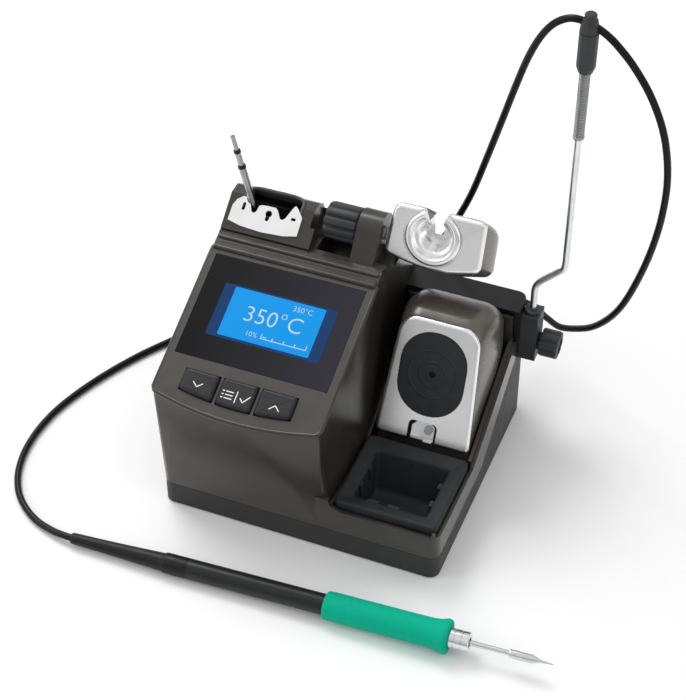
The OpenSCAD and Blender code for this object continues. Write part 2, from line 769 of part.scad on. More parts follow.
// The holder's face, drawn in X and Z about the holder's centre line
module holder_outline(grow) {
    r = 5 + grow;
    hull() for (p = [[-holder_w / 2 + 5, face_lo + 8.5], [holder_w / 2 - 5, face_lo + 8.5],
        [-holder_w / 2 + 9.5, face_hi - 5], [holder_w / 2 - 7, face_hi - 5],
        [-8, face_lo + 5], [8, face_lo + 5]])
        translate(p) circle(r, $fn = 32);
}

module holder_slot() {
    polygon([[-2.4, ring_v], [2.4, ring_v], [3.4, ring_v + 7], [9.5, face_hi + 0.5],
        [10, face_hi + 30], [-10, face_hi + 30], [-9.5, face_hi + 0.5], [-3.4, ring_v + 7]]);
}

module holder_body() {
    color("#5f5b57") on_holder() translate([holder_cx, 0, 0]) difference() {
        hull() {
            facing(0, 1) holder_outline(-0.6);
            facing(13, 15) translate([3, 0]) holder_outline(-1);
            translate([6, 25, -5]) rotate([90, 0, 0]) cylinder(h = 2, r = 16, $fn = 32);
        }
        translate([-0.6, 40, ring_v]) rotate([90, 0, 0]) cylinder(h = 60, r = funnel_r + 4.1);
        translate([-0.6, 0, 0]) facing(-10, 60) holder_slot();
        translate([-holder_cx, 0, 0]) {
            block([0, -10, -12.2], [column_x1 + 3, 60, 12.2]);
            rod_x(0, column_x1 + 9, 0, 0, pivot_d / 2 + 2.6);
        }
    }
}

module holder_face() {
    color("#dcdddd") on_holder() translate([holder_cx, 0, 0]) difference() {
        union() {
            facing(-face_t, 0) holder_outline(0);
            translate([-0.6, -face_t, ring_v]) rotate([90, 0, 0]) intersection() {
                cylinder(h = 1.6, r = ring_r);
                translate([-50, -50, 0]) cube([100, 50 + face_hi - ring_v, 5]);
            }
        }
        translate([-0.6, 5, ring_v]) rotate([90, 0, 0]) cylinder(h = 20, r = funnel_r + 5.7);
        translate([-0.6, 0, 0]) facing(-10, 60) holder_slot();
    }
}

module holder_funnel() {
    color("#aeb1b4") on_holder() translate([holder_cx - 0.6, 0, ring_v]) rotate([-90, 0, 0])
        difference() {
            union() {
                translate([0, 0, -face_t - 0.8]) cylinder(h = face_t + 0.7, r = funnel_r + 5.6);
                translate([0, 0, -0.1]) cylinder(h = 22, r = funnel_r + 4);
            }
            translate([0, 0, -face_t - 1]) cylinder(h = 4, r1 = funnel_r + 4.6, r2 = funnel_r + 2);
            translate([0, 0, -face_t + 2.9]) cylinder(h = 30, r = funnel_r);
            rotate([90, 0, 0]) linear_extrude(40)
                polygon([[-2.4, -20], [2.4, -20], [2.4, 40], [-2.4, 40]]);
        }
}

// ---------- tip cleaner ----------

module cleaner_outline(inset) {
    foot = cleaner_w / 2 - inset;
    top = cleaner_w / 2 - 4.5 - inset;
    hull() {
        for (x = [-1, 1]) translate([x * (foot - 1.5), 1.5 + inset]) circle(1.5, $fn = 32);
        for (x = [-1, 1]) translate([x * (top - 10), cleaner_len - 10 - inset])
            circle(10, $fn = 32);
    }
}

module cleaner_form(inset) {
    w = cleaner_w / 2 - inset;
    hull() {
        on_cleaner() facing(front_t + inset, front_t + inset + 1) cleaner_outline(inset + 0.6);
        block([bay_cx - w, cleaner_y + 3.5 + inset, bay_floor_h + inset],
            [bay_cx + w, cleaner_y + 5 + inset, cleaner_z]);
        translate([bay_cx, bay_y1 - 8, bay_floor_h + inset])
            linear_extrude(90 - bay_floor_h - 2 * inset) rounded_square(2 * w, 10, 4, $fn = 32);
        block([bay_cx - w + 12, bay_y1 - 16, cleaner_z + 62], [bay_cx + w - 12, bay_y1 - 9,
            cleaner_z + 67 - inset]);
    }
}

module cleaner_housing() {
    color("#7d7469") difference() {
        cleaner_form(0);
        cleaner_form(2.2);
        on_cleaner() translate([0, 20, membrane_v]) rotate([90, 0, 0]) cylinder(h = 40, r = 18.6);
    }
}

module cleaner_front() {
    color("#dcdddd") on_cleaner() difference() {
        facing(0, front_t) cleaner_outline(0);
        translate([0, front_t + 1, membrane_v]) rotate([90, 0, 0]) linear_extrude(front_t + 2)
            scale([membrane_w / membrane_len, 1]) circle(membrane_len / 2, $fn = 64);
        translate([-8.5, -1, -1]) cube([16, front_t + 2, 13.5]);
    }
}

module cleaner_membrane() {
    color("#3d3e40") on_cleaner() difference() {
        translate([0, front_t, membrane_v]) rotate([90, 0, 0]) linear_extrude(front_t + 0.3)
            scale([(membrane_w - 0.3) / (membrane_len - 0.3), 1])
                circle((membrane_len - 0.3) / 2, $fn = 64);
        translate([0, 10, membrane_v]) rotate([90, 0, 0]) cylinder(h = 20, r = 2.1);
    }
}

module cleaner_cup() {
    color("#8f9397") on_cleaner() translate([0, front_t + 1.3, membrane_v]) rotate([-90, 0, 0])
        difference() {
            cylinder(h = 34, r = 18.3);
            translate([0, 0, -1]) cylinder(h = 33.8, r = 17.3);
        }
}

module brass_wool() {
    color("#c9a040") on_cleaner() translate([0, front_t + 16, membrane_v]) rotate([-90, 0, 0])
        cylinder(h = 17.8, r = 17.2);
}

module tip_wiper() {
    color("#e2e4e6") on_cleaner() difference() {
        union() {
            facing(front_t - 0.6, front_t) polygon([[-7, 1], [6.4, 1], [6.4, 10], [4, 12],
                [-4, 12], [-7, 9]]);
            translate([-7, 0.6, 3]) cube([6.5, front_t - 0.7, 0.6]);
            translate([1, 0.6, 0.9]) cube([5, front_t - 0.7, 0.6]);
        }
        translate([3, 5, 8]) rotate([90, 0, 0]) cylinder(h = 9, r = 1.3);
    }
}

module wiper_screw() {
    color("#c4c8cc") on_cleaner() translate([3, front_t - 0.6, 8]) rotate([90, 0, 0])
        difference() {
            union() {
                cylinder(h = 1.8, r = 2.4);
                translate([0, 0, -0.6]) cylinder(h = 0.7, r = 1.2);
            }
            translate([-3, -0.4, 1.2]) cube([6, 0.8, 2]);
        }
}

// ---------- waste tray ----------

module waste_tray() {
    w = bay_w - 1.2;
    d = tray_d - 0.4;
    low = bay_floor_h + 0.3;
    color("#26282a") translate([bay_cx, bay_y0 + 1.2 + tray_d / 2, 0]) difference() {
        union() {
            translate([0, 0, low]) linear_extrude(tray_h - low - 2.9) rounded_square(w - 3, d - 3, 3);
            translate([0, 0, tray_h - 3]) linear_extrude(3) rounded_square(w, d, 3.5);
        }
        translate([0, 1.5, low + 2]) linear_extrude(tray_h)
            rounded_square(w - 2 * tray_rim, d - 2 * tray_rim + 3, 2);
        for (x = [-1, 1], y = [-11, 3]) translate([x * (w / 2 - tray_rim), y, tray_h - 6])
            translate([-1.6, 0, 0]) cube([3.2, 4, 8]);
        for (x = [-13, 2, 16]) translate([x - 2, -d / 2 + tray_rim - 1.6, tray_h - 6])
            cube([4, 3.2, 8]);
    }
}

// ---------- cable arm ----------

module arm_bracket() {
    color("#4a4a4c") difference() {
        union() {
            block([half_w, arm_y - 6.5, arm_z0], [half_w + 10, arm_y + 6.5, arm_z1]);
            translate([arm_x, arm_y, arm_z1 - 0.1]) cylinder(h = 2, r = 4.6);
        }
        translate([arm_x, arm_y, arm_z1 - 16]) cylinder(h = 30, r = rod_d / 2 + 0.05);
        rod_x(half_w - 1, half_w + 12, arm_y, arm_axis_z, 2.55);
    }
}

module arm_bolt() {
    color("#b8bcc0") {
        rod_x(half_w - wall - 3.5, half_w + 14, arm_y, arm_axis_z, 2.5);
        rod_x(half_w - wall - 3.5, half_w - wall, arm_y, arm_axis_z, 3.4, $fn = 6);
    }
}

module arm_knob() {
    color("#4a4a4c") difference() {
        rod_x(half_w + 10.3, half_w + 19.5, arm_y, arm_axis_z, 7);
        for (a = [0 : 45 : 315]) translate([half_w + 9, arm_y, arm_axis_z]) rotate([a, 0, 0])
            translate([0, 0, 8.2]) rotate([0, 90, 0]) cylinder(h = 20, r = 2);
        rod_x(half_w + 9, half_w + 14.2, arm_y, arm_axis_z, 2.55);
    }
}

// The rod: straight, cranked sideways and straight again; a ball smooths each bend
rod_path = [[arm_x, arm_y, arm_z1 - 14], [arm_x, arm_y, arm_z1 + 18],
    [rod_x, arm_y, arm_z1 + 39], [rod_x, arm_y, rod_top + 3]];

module rod_piece(a, b) {
    v = b - a;
    translate(a) rotate([0, atan2(v[0], v[2]), 0]) cylinder(h = norm(v), r = rod_d / 2);
}

module arm_rod() {
    color("#c8ccd0") {
        for (i = [0 : 2]) rod_piece(rod_path[i], rod_path[i + 1]);
        for (i = [1, 2]) translate(rod_path[i]) sphere(r = rod_d / 2 + 0.12);
    }
}

module arm_spring() {
    color("#6e7276") translate([rod_x, arm_y, rod_top]) difference() {
        cylinder(h = spring_len, r = 3.2);
        translate([0, 0, -1]) cylinder(h = 4, r = rod_d / 2);
    }
}

module clip_body() {
    color("#515459") translate([rod_x, arm_y, clip_z]) difference() {
        union() {
            cylinder(h = 6.1, r1 = 4.4, r2 = 6.2);
            translate([0, 0, 6]) cylinder(h = clip_len - 10, r = 6.2);
        }
        translate([-20, 0, clip_len - 4]) rotate([0, 90, 0]) cylinder(h = 40, r = cord_d / 2 + 0.15);
    }
}

module clip_cap() {
    color("#3a3c3f") translate([rod_x, arm_y, clip_z]) difference() {
        translate([0, 0, clip_len - 3.9]) cylinder(h = 8, r1 = 6.4, r2 = 5.2);
        translate([-20, 0, clip_len - 4]) rotate([0, 90, 0]) cylinder(h = 40, r = cord_d / 2 + 0.15);
    }
}

// ---------- cord ----------

module cord_station() {
    color("#151515") swept(station_route, cord_d / 2, 8);
}

module cord_iron() {
    color("#151515") swept(iron_route, cord_d / 2, 8);
}

// ---------- soldering iron ----------

module on_iron(x) {
    translate([iron_x, iron_y, iron_z]) rotate([0, 0, iron_turn]) rotate([0, 90 - iron_rise, 0])
        translate([0, 0, x]) children();
}

tube_end = relief_len + tube_len;
grip_end = tube_end + grip_len;

module iron_relief() {
    color("#1c1c1c") on_iron(0) difference() {
        union() {
            cylinder(h = relief_len - 14, r1 = 3.2, r2 = 5);
            translate([0, 0, relief_len - 14.1]) cylinder(h = 14.1, r = tube_d / 2);
        }
        translate([0, 0, -1]) cylinder(h = 3, r = cord_d / 2);
    }
}

module iron_tube() {
    color("#3e3f40") on_iron(relief_len) difference() {
        cylinder(h = tube_len + grip_len - 4, r = tube_d / 2);
        translate([0, 0, -1]) cylinder(h = tube_len + grip_len, r = tube_d / 2 - 1.5);
    }
}

module iron_terminal() {
    color("#c9a24a") on_iron(tube_end + 4) difference() {
        cylinder(h = grip_len - 10, r = tube_d / 2 - 1.6);
        translate([0, 0, 20]) cylinder(h = grip_len, r = 1.8);
    }
}

module iron_grip() {
    color("#00bf9f") on_iron(tube_end) rotate_extrude() difference() {
        polygon([[tube_d / 2 + 0.05, 0], [6.6, 0], [7, 0.6], [7.1, grip_len * 0.35],
            [7.6, grip_len * 0.65], [flare_d / 2 - 0.6, grip_len * 0.88],
            [flare_d / 2, grip_len - 4], [flare_d / 2 - 0.8, grip_len - 0.8],
            [flare_d / 2 - 2.6, grip_len], [tube_d / 2 + 0.05, grip_len]]);
        translate([0, grip_len - 4]) square([tube_d / 2 + 0.1, 5]);
    }
}

module iron_collar() {
    color("#c8ccd0") on_iron(grip_end - 3.9) difference() {
        union() {
            cylinder(h = 4, r = tube_d / 2);
            translate([0, 0, 3.9]) cylinder(h = collar_len, r = 5.6);
        }
        translate([0, 0, -1]) cylinder(h = 20, r = 1.8);
    }
}

module iron_cartridge() {
    color("#9aa0a4") on_iron(grip_end - 40) {
        cylinder(h = 40 + collar_len + 22.1, r = 1.5);
        translate([0, 0, 40 + collar_len + 22]) cylinder(h = 13, r = 2.4);
        translate([0, 0, 40 + collar_len]) cylinder(h = 5, r = 2.2);
    }
}

module iron_tip() {
    color("#b9bcbf") on_iron(grip_end + collar_len + 35) {
        cylinder(h = 5.1, r1 = 2, r2 = 1.5);
        translate([0, 0, 5]) cylinder(h = 5.5, r1 = 1.5, r2 = 0.3);
    }
}

lower_casing();
upper_casing();
rubber_feet();
casing_screws();
transformer_core();
transformer_coil();
transformer_screws();
main_board();
power_heat_sink();
panel_frame();
display_glass();
lcd_module();
key_board();
key_down();
key_menu();
key_up();
mains_inlet();
inlet_screws();
fuse_drawer();
switch_body();
power_rocker();
earth_socket();
tool_socket();
tool_plug();
tip_plate();
tip_pocket();
spare_cartridge();
spare_rings();
holder_pivot();
holder_knob();
holder_body();
holder_face();
holder_funnel();
cleaner_housing();
cleaner_front();
cleaner_membrane();
cleaner_cup();
brass_wool();
tip_wiper();
wiper_screw();
waste_tray();
arm_bracket();
arm_bolt();
arm_knob();
arm_rod();
arm_spring();
clip_body();
clip_cap();
cord_station();
cord_iron();
iron_relief();
iron_tube();
iron_terminal();
iron_grip();
iron_collar();
iron_cartridge();
iron_tip();
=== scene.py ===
import math

import bmesh
import bpy
from mathutils import Matrix, Vector


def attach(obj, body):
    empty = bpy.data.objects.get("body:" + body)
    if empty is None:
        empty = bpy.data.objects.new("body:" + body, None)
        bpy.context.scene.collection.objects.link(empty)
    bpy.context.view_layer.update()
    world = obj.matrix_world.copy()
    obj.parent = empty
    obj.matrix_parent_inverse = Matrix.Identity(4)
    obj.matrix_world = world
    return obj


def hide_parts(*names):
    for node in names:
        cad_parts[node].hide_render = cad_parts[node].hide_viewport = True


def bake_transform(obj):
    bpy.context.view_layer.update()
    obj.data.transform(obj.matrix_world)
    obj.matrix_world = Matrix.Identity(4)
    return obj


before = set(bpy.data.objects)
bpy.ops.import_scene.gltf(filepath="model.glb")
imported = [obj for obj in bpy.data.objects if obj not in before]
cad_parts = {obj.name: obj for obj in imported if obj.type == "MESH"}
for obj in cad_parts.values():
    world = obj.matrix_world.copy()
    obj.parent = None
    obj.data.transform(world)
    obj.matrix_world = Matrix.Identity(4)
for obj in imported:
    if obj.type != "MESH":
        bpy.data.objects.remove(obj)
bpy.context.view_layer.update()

MM = 0.001


def at(x, y, z):
    """A place given in millimetres."""
    return Vector((x, y, z)) * MM



# ---------------------------------------------------------------- camera

camera = bpy.data.objects.new("camera", bpy.data.cameras.new("camera"))
bpy.context.scene.collection.objects.link(camera)
bpy.context.scene.camera = camera
camera.data.lens = 97.7
camera.data.clip_start = 0.05
# Where the camera stands round the station, how far away, and the point that it looks at
azimuth, elevation, reach = math.radians(21.6), math.radians(42.62), 1.18144
looks_at = Vector((-0.034, 0.08038, 0))
back = Vector((math.sin(azimuth) * math.cos(elevation),
               -math.cos(azimuth) * math.cos(elevation), math.sin(elevation)))
camera.location = looks_at + back * reach
camera.rotation_euler = back.to_track_quat("Z", "Y").to_euler()


# ---------------------------------------------------------------- finishes

def linear(hex_colour):
    """An sRGB hex colour as linear RGBA."""
    rgb = [int(hex_colour[i:i + 2], 16) / 255 for i in (1, 3, 5)]
    return [c / 12.92 if c <= 0.04045 else ((c + 0.055) / 1.055) ** 2.4 for c in rgb] + [1]


def add(tree, kind, inputs=None, **settings):
    """Adds a node with its settings; an input takes a value or another node's output."""
    node = tree.nodes.new(kind)
    for name, value in settings.items():
        setattr(node, name, value)
    for name, value in (inputs or {}).items():
        if isinstance(value, bpy.types.NodeSocket):
            tree.links.new(value, node.inputs[name])
        else:
            node.inputs[name].default_value = value
    return node


def surface(name, colour, roughness, metallic=0.0, **sockets):
    """A material with its shader, and the object's own coordinates in millimetres."""
    material = bpy.data.materials.new(name)
    material.use_nodes = True
    tree = material.node_tree
    shader = tree.nodes["Principled BSDF"]
    shader.inputs["Base Color"].default_value = linear(colour)
    shader.inputs["Roughness"].default_value = roughness
    shader.inputs["Metallic"].default_value = metallic
    for socket, value in sockets.items():
        shader.inputs[socket.replace("_", " ")].default_value = value
    place = add(tree, "ShaderNodeTexCoord")
    millimetres = add(tree, "ShaderNodeMapping", {"Vector": place.outputs["Object"],
                                                  "Scale": (1000, 1000, 1000)})
    return material, tree, shader, millimetres.outputs["Vector"]


def mottle(tree, shader, where, size, low, high, detail=3.0):
    """Varies the roughness between low and high in patches of that size in millimetres."""
    patches = add(tree, "ShaderNodeTexNoise", {"Vector": where, "Scale": 1 / size,
                                               "Detail": detail})
    spread = add(tree, "ShaderNodeMapRange", {"Value": patches.outputs["Fac"], "From Min": 0.3,
                                              "From Max": 0.7, "To Min": low, "To Max": high})
    tree.links.new(spread.outputs["Result"], shader.inputs["Roughness"])


def tint(tree, shader, where, size, dark, light):
    """Varies the colour between two hex colours in patches of that size."""
    patches = add(tree, "ShaderNodeTexNoise", {"Vector": where, "Scale": 1 / size,
                                               "Detail": 2.0})
    ramp = add(tree, "ShaderNodeValToRGB", {"Fac": patches.outputs["Fac"]})
    ramp.color_ramp.elements[0].position = 0.35
    ramp.color_ramp.elements[1].position = 0.65
    ramp.color_ramp.elements[0].color = linear(dark)
    ramp.color_ramp.elements[1].color = linear(light)
    tree.links.new(ramp.outputs["Color"], shader.inputs["Base Color"])


def fade(tree, shader, where, axis, low, high, below, above):
    """Fades the colour along an axis, from below at low to above at high, in millimetres."""
    parts = add(tree, "ShaderNodeSeparateXYZ", {"Vector": where})
    along = add(tree, "ShaderNodeMapRange", {"Value": parts.outputs[axis], "From Min": low,
                                            "From Max": high})
    mix = add(tree, "ShaderNodeValToRGB", {"Fac": along.outputs["Result"]})
    mix.color_ramp.elements[0].color = linear(below)
    mix.color_ramp.elements[1].color = linear(above)
    tree.links.new(mix.outputs["Color"], shader.inputs["Base Color"])


def grain(tree, shader, where, size, depth, strength=1.0, stretch=(1, 1, 1)):
    """A bump of that grain size and depth in millimetres; stretch lengthens it one way."""
    drawn = add(tree, "ShaderNodeMapping", {"Vector": where, "Scale": stretch})
    grains = add(tree, "ShaderNodeTexNoise", {"Vector": drawn.outputs["Vector"],
                                              "Scale": 1 / size, "Detail": 2.0})
    bump = add(tree, "ShaderNodeBump", {"Height": grains.outputs["Fac"],
                                        "Distance": depth * MM, "Strength": strength})
    tree.links.new(bump.outputs["Normal"], shader.inputs["Normal"])


def bronze_lacquer(name, dark, light, roughness=0.36):
    # satin metallic lacquer on moulded plastic: a soft sheen that rolls over the curves
    material, tree, shader, where = surface(name, dark, roughness, 0.35, Coat_Weight=0.45,
                                            Coat_Roughness=0.2, Specular_IOR_Level=0.35)
    tint(tree, shader, where, 14, dark, light)
    mottle(tree, shader, where, 9, roughness - 0.02, roughness + 0.03)
    grain(tree, shader, where, 0.7, 0.01, 0.2)
    return material


def spark_eroded_plastic(name, dark, light, roughness=0.5, size=0.8):
    # ABS from a spark-eroded mould: an even, dull grain; drawn at 0.8 mm so that it shows
    material, tree, shader, where = surface(name, dark, roughness, Specular_IOR_Level=0.3)
    tint(tree, shader, where, 14, dark, light)
    mottle(tree, shader, where, 6, roughness - 0.05, roughness + 0.06)
    grain(tree, shader, where, size, 0.05, 0.5)
    return material


def shell_plastic_painted_shade(name, below, above):
    # ABS from a spark-eroded mould: dull grey round the base, with painted shade that turns it
    # blacker up the rear housing
    material, tree, shader, where = surface(name, below, 0.48, Specular_IOR_Level=0.3)
    # painted shade: the colour goes from below at z 20 to the blacker above at z 44
    fade(tree, shader, where, "Z", 20, 44, below, above)
    mottle(tree, shader, where, 6, 0.44, 0.54)
    grain(tree, shader, where, 0.8, 0.04, 0.4)
    return material


def gloss_panel(name, colour, across=None):
    # back-painted cover glass: near black under a sharp coat; a second colour, when given, is a
    # painted reflection that lightens it to a purple grey towards the right
    material, tree, shader, where = surface(name, colour, 0.12, 0.0, Specular_IOR_Level=0.2,
                                            Coat_Weight=0.04, Coat_Roughness=0.1)
    # painted reflection: from the glass colour at x -75 to the lighter colour at x 10
    if across:
        fade(tree, shader, where, "X", -75, 10, colour, across)
    mottle(tree, shader, where, 30, 0.09, 0.14, 1.0)
    return material


def lit_crystal(name, colour, glow, ground="#001a3c"):
    # backlit liquid crystal: glows evenly, with a faint unevenness in its 0.5 mm dots
    material, tree, shader, where = surface(name, ground, 0.4, Specular_IOR_Level=0.1,
                                            Emission_Color=linear(colour),
                                            Emission_Strength=glow)
    mottle(tree, shader, where, 0.5, 0.3, 0.4)
    return material


def brushed_silver(name, dark, light, roughness=0.26, stretch=(0.06, 1, 1)):
    # satin nickel-plated casting, brushed one way: soft streaks, drawn 0.8 mm apart to show
    material, tree, shader, where = surface(name, light, roughness, 1.0)
    tint(tree, shader, where, 12, dark, light)
    mottle(tree, shader, where, 14, roughness - 0.015, roughness + 0.02, 1.0)
    grain(tree, shader, where, 0.8, 0.002, 0.05, stretch)
    return material


def cover_silver_painted_shade(name, foot, face):
    # satin nickel-plated moulding that rolls under at its foot, with painted shade that turns the
    # foot dark
    material, tree, shader, where = surface(name, face, 0.26, 1.0)
    # painted shade: the dark foot colour fades up into the face colour from z 37 to z 44
    fade(tree, shader, where, "Z", 37, 44, foot, face)
    mottle(tree, shader, where, 14, 0.24, 0.28, 1.0)
    return material


def polished_steel(name, dark, light, roughness=0.14):
    # drawn and polished rod: mirror-like, with faint lengthwise draw marks
    material, tree, shader, where = surface(name, light, roughness, 1.0)
    tint(tree, shader, where, 8, dark, light)
    mottle(tree, shader, where, 3, roughness - 0.03, roughness + 0.06)
    grain(tree, shader, where, 0.3, 0.008, 0.3, (1, 1, 0.08))
    return material


def soft_rubber(name, dark, light, roughness=0.62):
    # moulded silicone: matt, with a slight dusty bloom
    material, tree, shader, where = surface(name, dark, roughness, Specular_IOR_Level=0.3)
    tint(tree, shader, where, 5, dark, light)
    mottle(tree, shader, where, 4, roughness - 0.06, roughness + 0.06)
    grain(tree, shader, where, 0.6, 0.04, 0.4)
    return material


def cell_foam(name, dark, light):
    # closed-cell foam sleeve: soft and matt, with fine pores drawn 0.7 mm apart to show
    material, tree, shader, where = surface(name, light, 0.7, Specular_IOR_Level=0.12)
    tint(tree, shader, where, 2.5, dark, light)
    mottle(tree, shader, where, 3, 0.6, 0.75)
    pores = add(tree, "ShaderNodeTexVoronoi", {"Vector": where, "Scale": 1 / 0.7})
    bump = add(tree, "ShaderNodeBump", {"Height": pores.outputs["Distance"],
                                        "Distance": 0.12 * MM, "Strength": 0.6})
    tree.links.new(bump.outputs["Normal"], shader.inputs["Normal"])
    return material


def cable_jacket(name, dark, light):
    # extruded silicone jacket: smooth, with a soft gloss and faint waviness from the die
    material, tree, shader, where = surface(name, dark, 0.3, Specular_IOR_Level=0.22)
    tint(tree, shader, where, 6, dark, light)
    mottle(tree, shader, where, 5, 0.27, 0.38)
    grain(tree, shader, where, 2.5, 0.03, 0.4)
    return material


def yellow_brass(name, dark, light):
    # turned brass: warm, with fine turning marks
    material, tree, shader, where = surface(name, light, 0.25, 1.0)
    tint(tree, shader, where, 3, dark, light)
    mottle(tree, shader, where, 2, 0.2, 0.34)
    grain(tree, shader, where, 0.4, 0.02, 0.5)
    return material


def printed_board(name):
    # glass-epoxy laminate under green solder mask, with a faint weave
    material, tree, shader, where = surface(name, "#1c6a3c", 0.35)
    tint(tree, shader, where, 4, "#15532f", "#22784a")
    mottle(tree, shader, where, 1.5, 0.28, 0.42)
    return material


def white_print(name):
    # pad-printed ink: flat white, a little thinner in places
    material, tree, shader, where = surface(name, "#f4f4f4", 0.55)
    tint(tree, shader, where, 1.0, "#e6e6e6", "#fbfbfb")
    mottle(tree, shader, where, 2, 0.5, 0.6)
    return material


FINISHES = {
    "casing": bronze_lacquer("casing_lacquer", "#34312d", "#393632", 0.3),
    "hood": bronze_lacquer("hood_lacquer", "#5a554f", "#615c56", 0.28),
    # the blacker #0e0e0f is painted shade up the rear housing
    "base": shell_plastic_painted_shade("base_abs", "#2f2f2f", "#0e0e0f"),
    "panel": spark_eroded_plastic("panel_abs", "#403e3a", "#45433f", 0.42, 0.6),
    # 2a2932 is a painted reflection, lighter towards the right of the glass
    "glass": gloss_panel("cover_glass", "#09090c", "#2a2932"),
    "lcd": lit_crystal("lit_display", "#0698e8", 0.95),
    "border": gloss_panel("display_border", "#0a3666"),
    "digits": lit_crystal("lit_figures", "#cfe2ee", 0.9, "#202428"),
    "rim": spark_eroded_plastic("rim_abs", "#3c3d3e", "#48494a", 0.42, 0.6),
    "key": spark_eroded_plastic("key_abs", "#1f1f20", "#252526", 0.4, 0.5),
    "black": spark_eroded_plastic("black_nylon", "#191919", "#222222", 0.5),
    "grey": spark_eroded_plastic("grey_nylon", "#323336", "#393a3d", 0.42),
    "tray": spark_eroded_plastic("tray_nylon", "#242628", "#2a2c2e", 0.6),
    "rubber": soft_rubber("silicone_grey", "#27282a", "#2c2d2f"),
    "foot": soft_rubber("foot_rubber", "#1d1d1d", "#272727"),
    "silver": brushed_silver("satin_silver", "#f2f2f2", "#f6f6f6", 0.28),
    # the foot colour #4a4b4c is painted shade where the cover rolls under
    "cover": cover_silver_painted_shade("cover_silver_painted_shade", "#4a4b4c", "#f6f6f7"),
    "steel": brushed_silver("zinc_steel", "#a9acaf", "#bcbfc2", 0.34),
    "polish": polished_steel("polished_steel", "#dadcde", "#e8e9ea"),
    "cartridge": polished_steel("turned_steel", "#d0d2d4", "#dcdee0", 0.2),
    "spring": polished_steel("spring_wire", "#98999b", "#aaabad", 0.2),
    "cord": cable_jacket("cord_jacket", "#060606", "#0a0a0a"),
    "relief": soft_rubber("relief_rubber", "#0a0a0b", "#0e0e0f", 0.45),
    "tube": spark_eroded_plastic("handle_tube", "#1b1c1d", "#202122", 0.36, 0.5),
    "grip": cell_foam("teal_foam", "#00aa8a", "#00ae8e"),
    "brass": yellow_brass("turned_brass", "#b08a3c", "#cda54f"),
    "core": spark_eroded_plastic("varnished_core", "#4b463f", "#5d574e", 0.4),
    "coil": soft_rubber("winding_tape", "#b5752c", "#c8873a", 0.45),
    "board": printed_board("solder_mask"),
    "print": white_print("white_ink"),
}

# Each modelled node with its finish and the width of its rounded edges in millimetres
NODE_FINISH = {
    "lower_casing": ("base", 0.8), "upper_casing": ("casing", 1.2), "rubber_feet": ("foot", 0.2),
    "casing_screws": ("steel", 0.1), "transformer_core": ("core", 0.4),
    "transformer_coil": ("coil", 1.0), "transformer_screws": ("steel", 0.2),
    "main_board": ("board", 0.1), "power_heat_sink": ("steel", 0.1),
    "panel_frame": ("panel", 0.5), "display_glass": ("glass", 0.2), "lcd_module": ("lcd", 0.1),
    "key_board": ("board", 0.1), "key_down": ("key", 0.5), "key_menu": ("key", 0.5),
    "key_up": ("key", 0.5), "mains_inlet": ("black", 0.4), "inlet_screws": ("steel", 0.2),
    "fuse_drawer": ("black", 0.3), "switch_body": ("black", 0.3),
    "power_rocker": ("black", 0.3), "earth_socket": ("brass", 0.3),
    "tool_socket": ("steel", 0.4), "tool_plug": ("black", 0.5), "tip_plate": ("silver", 0.3),
    "tip_pocket": ("black", 0.3), "spare_cartridge": ("spring", 0.1),
    "spare_rings": ("foot", 0.2), "holder_pivot": ("steel", 0.2), "holder_knob": ("grey", 0.5),
    "holder_body": ("hood", 1.0), "holder_face": ("silver", 0.8),
    "holder_funnel": ("polish", 0.4), "cleaner_housing": ("hood", 1.0),
    "cleaner_front": ("silver", 0.8), "cleaner_membrane": ("rubber", 0.2),
    "cleaner_cup": ("steel", 0.2), "brass_wool": ("brass", 0.5), "tip_wiper": ("polish", 0.05),
    "wiper_screw": ("steel", 0.1), "waste_tray": ("tray", 0.8), "arm_bracket": ("grey", 0.8),
    "arm_bolt": ("steel", 0.2), "arm_knob": ("grey", 0.5), "arm_rod": ("polish", 0.0),
    "arm_spring": ("spring", 0.2), "clip_body": ("grey", 0.5), "clip_cap": ("grey", 0.6),
    "cord_station": ("cord", 0.0), "cord_iron": ("cord", 0.0), "iron_relief": ("relief", 0.3),
    "iron_tube": ("tube", 0.2), "iron_terminal": ("black", 0.2), "iron_grip": ("grip", 0.4),
    "iron_collar": ("polish", 0.4), "iron_cartridge": ("cartridge", 0.2),
    "iron_tip": ("cartridge", 0.1),
}


def round_edges(piece, width, segments=3, angle=28):
    """Joins the faces of a flat side into one and rounds the sharp edges."""
    weld = piece.modifiers.new("weld", "WELD")
    weld.merge_threshold = 0.00001
    flat = piece.modifiers.new("flat", "DECIMATE")
    flat.decimate_type = "DISSOLVE"
    flat.angle_limit = math.radians(0.5)
    if width:
        bevel = piece.modifiers.new("edges", "BEVEL")
        bevel.width = width * MM
        bevel.segments = segments
        bevel.limit_method = "ANGLE"
        bevel.angle_limit = math.radians(angle)
        bevel.use_clamp_overlap = True
        bevel.miter_outer = "MITER_ARC"
    normals = piece.modifiers.new("normals", "WEIGHTED_NORMAL")
    normals.keep_sharp = False
    for polygon in piece.data.polygons:
        polygon.use_smooth = True


for node_name, (finish_name, edge) in NODE_FINISH.items():
    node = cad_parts[node_name]
    node.data.materials.clear()
    node.data.materials.append(FINISHES[finish_name])
    round_edges(node, edge)


# ---------------------------------------------------------------- mesh tools

def piece_from(name, mesh_maker, finish, body=None, stands_for=(), smooth=50):
    """Builds a mesh with mesh_maker, gives it a finish and lets it ride on a body."""
    bm = bmesh.new()
    mesh_maker(bm)
    bmesh.ops.recalc_face_normals(bm, faces=bm.faces)
    mesh = bpy.data.meshes.new(name)
    bm.to_mesh(mesh)
    bm.free()
    piece = bpy.data.objects.new(name, mesh)
    bpy.context.scene.collection.objects.link(piece)
    mesh.materials.append(FINISHES[finish])
    for polygon in mesh.polygons:
        polygon.use_smooth = True
    mesh.set_sharp_from_angle(angle=math.radians(smooth))
    piece.modifiers.new("normals", "WEIGHTED_NORMAL").keep_sharp = True
    if body:
        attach(piece, body)
    if stands_for:
        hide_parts(*stands_for)
    return piece


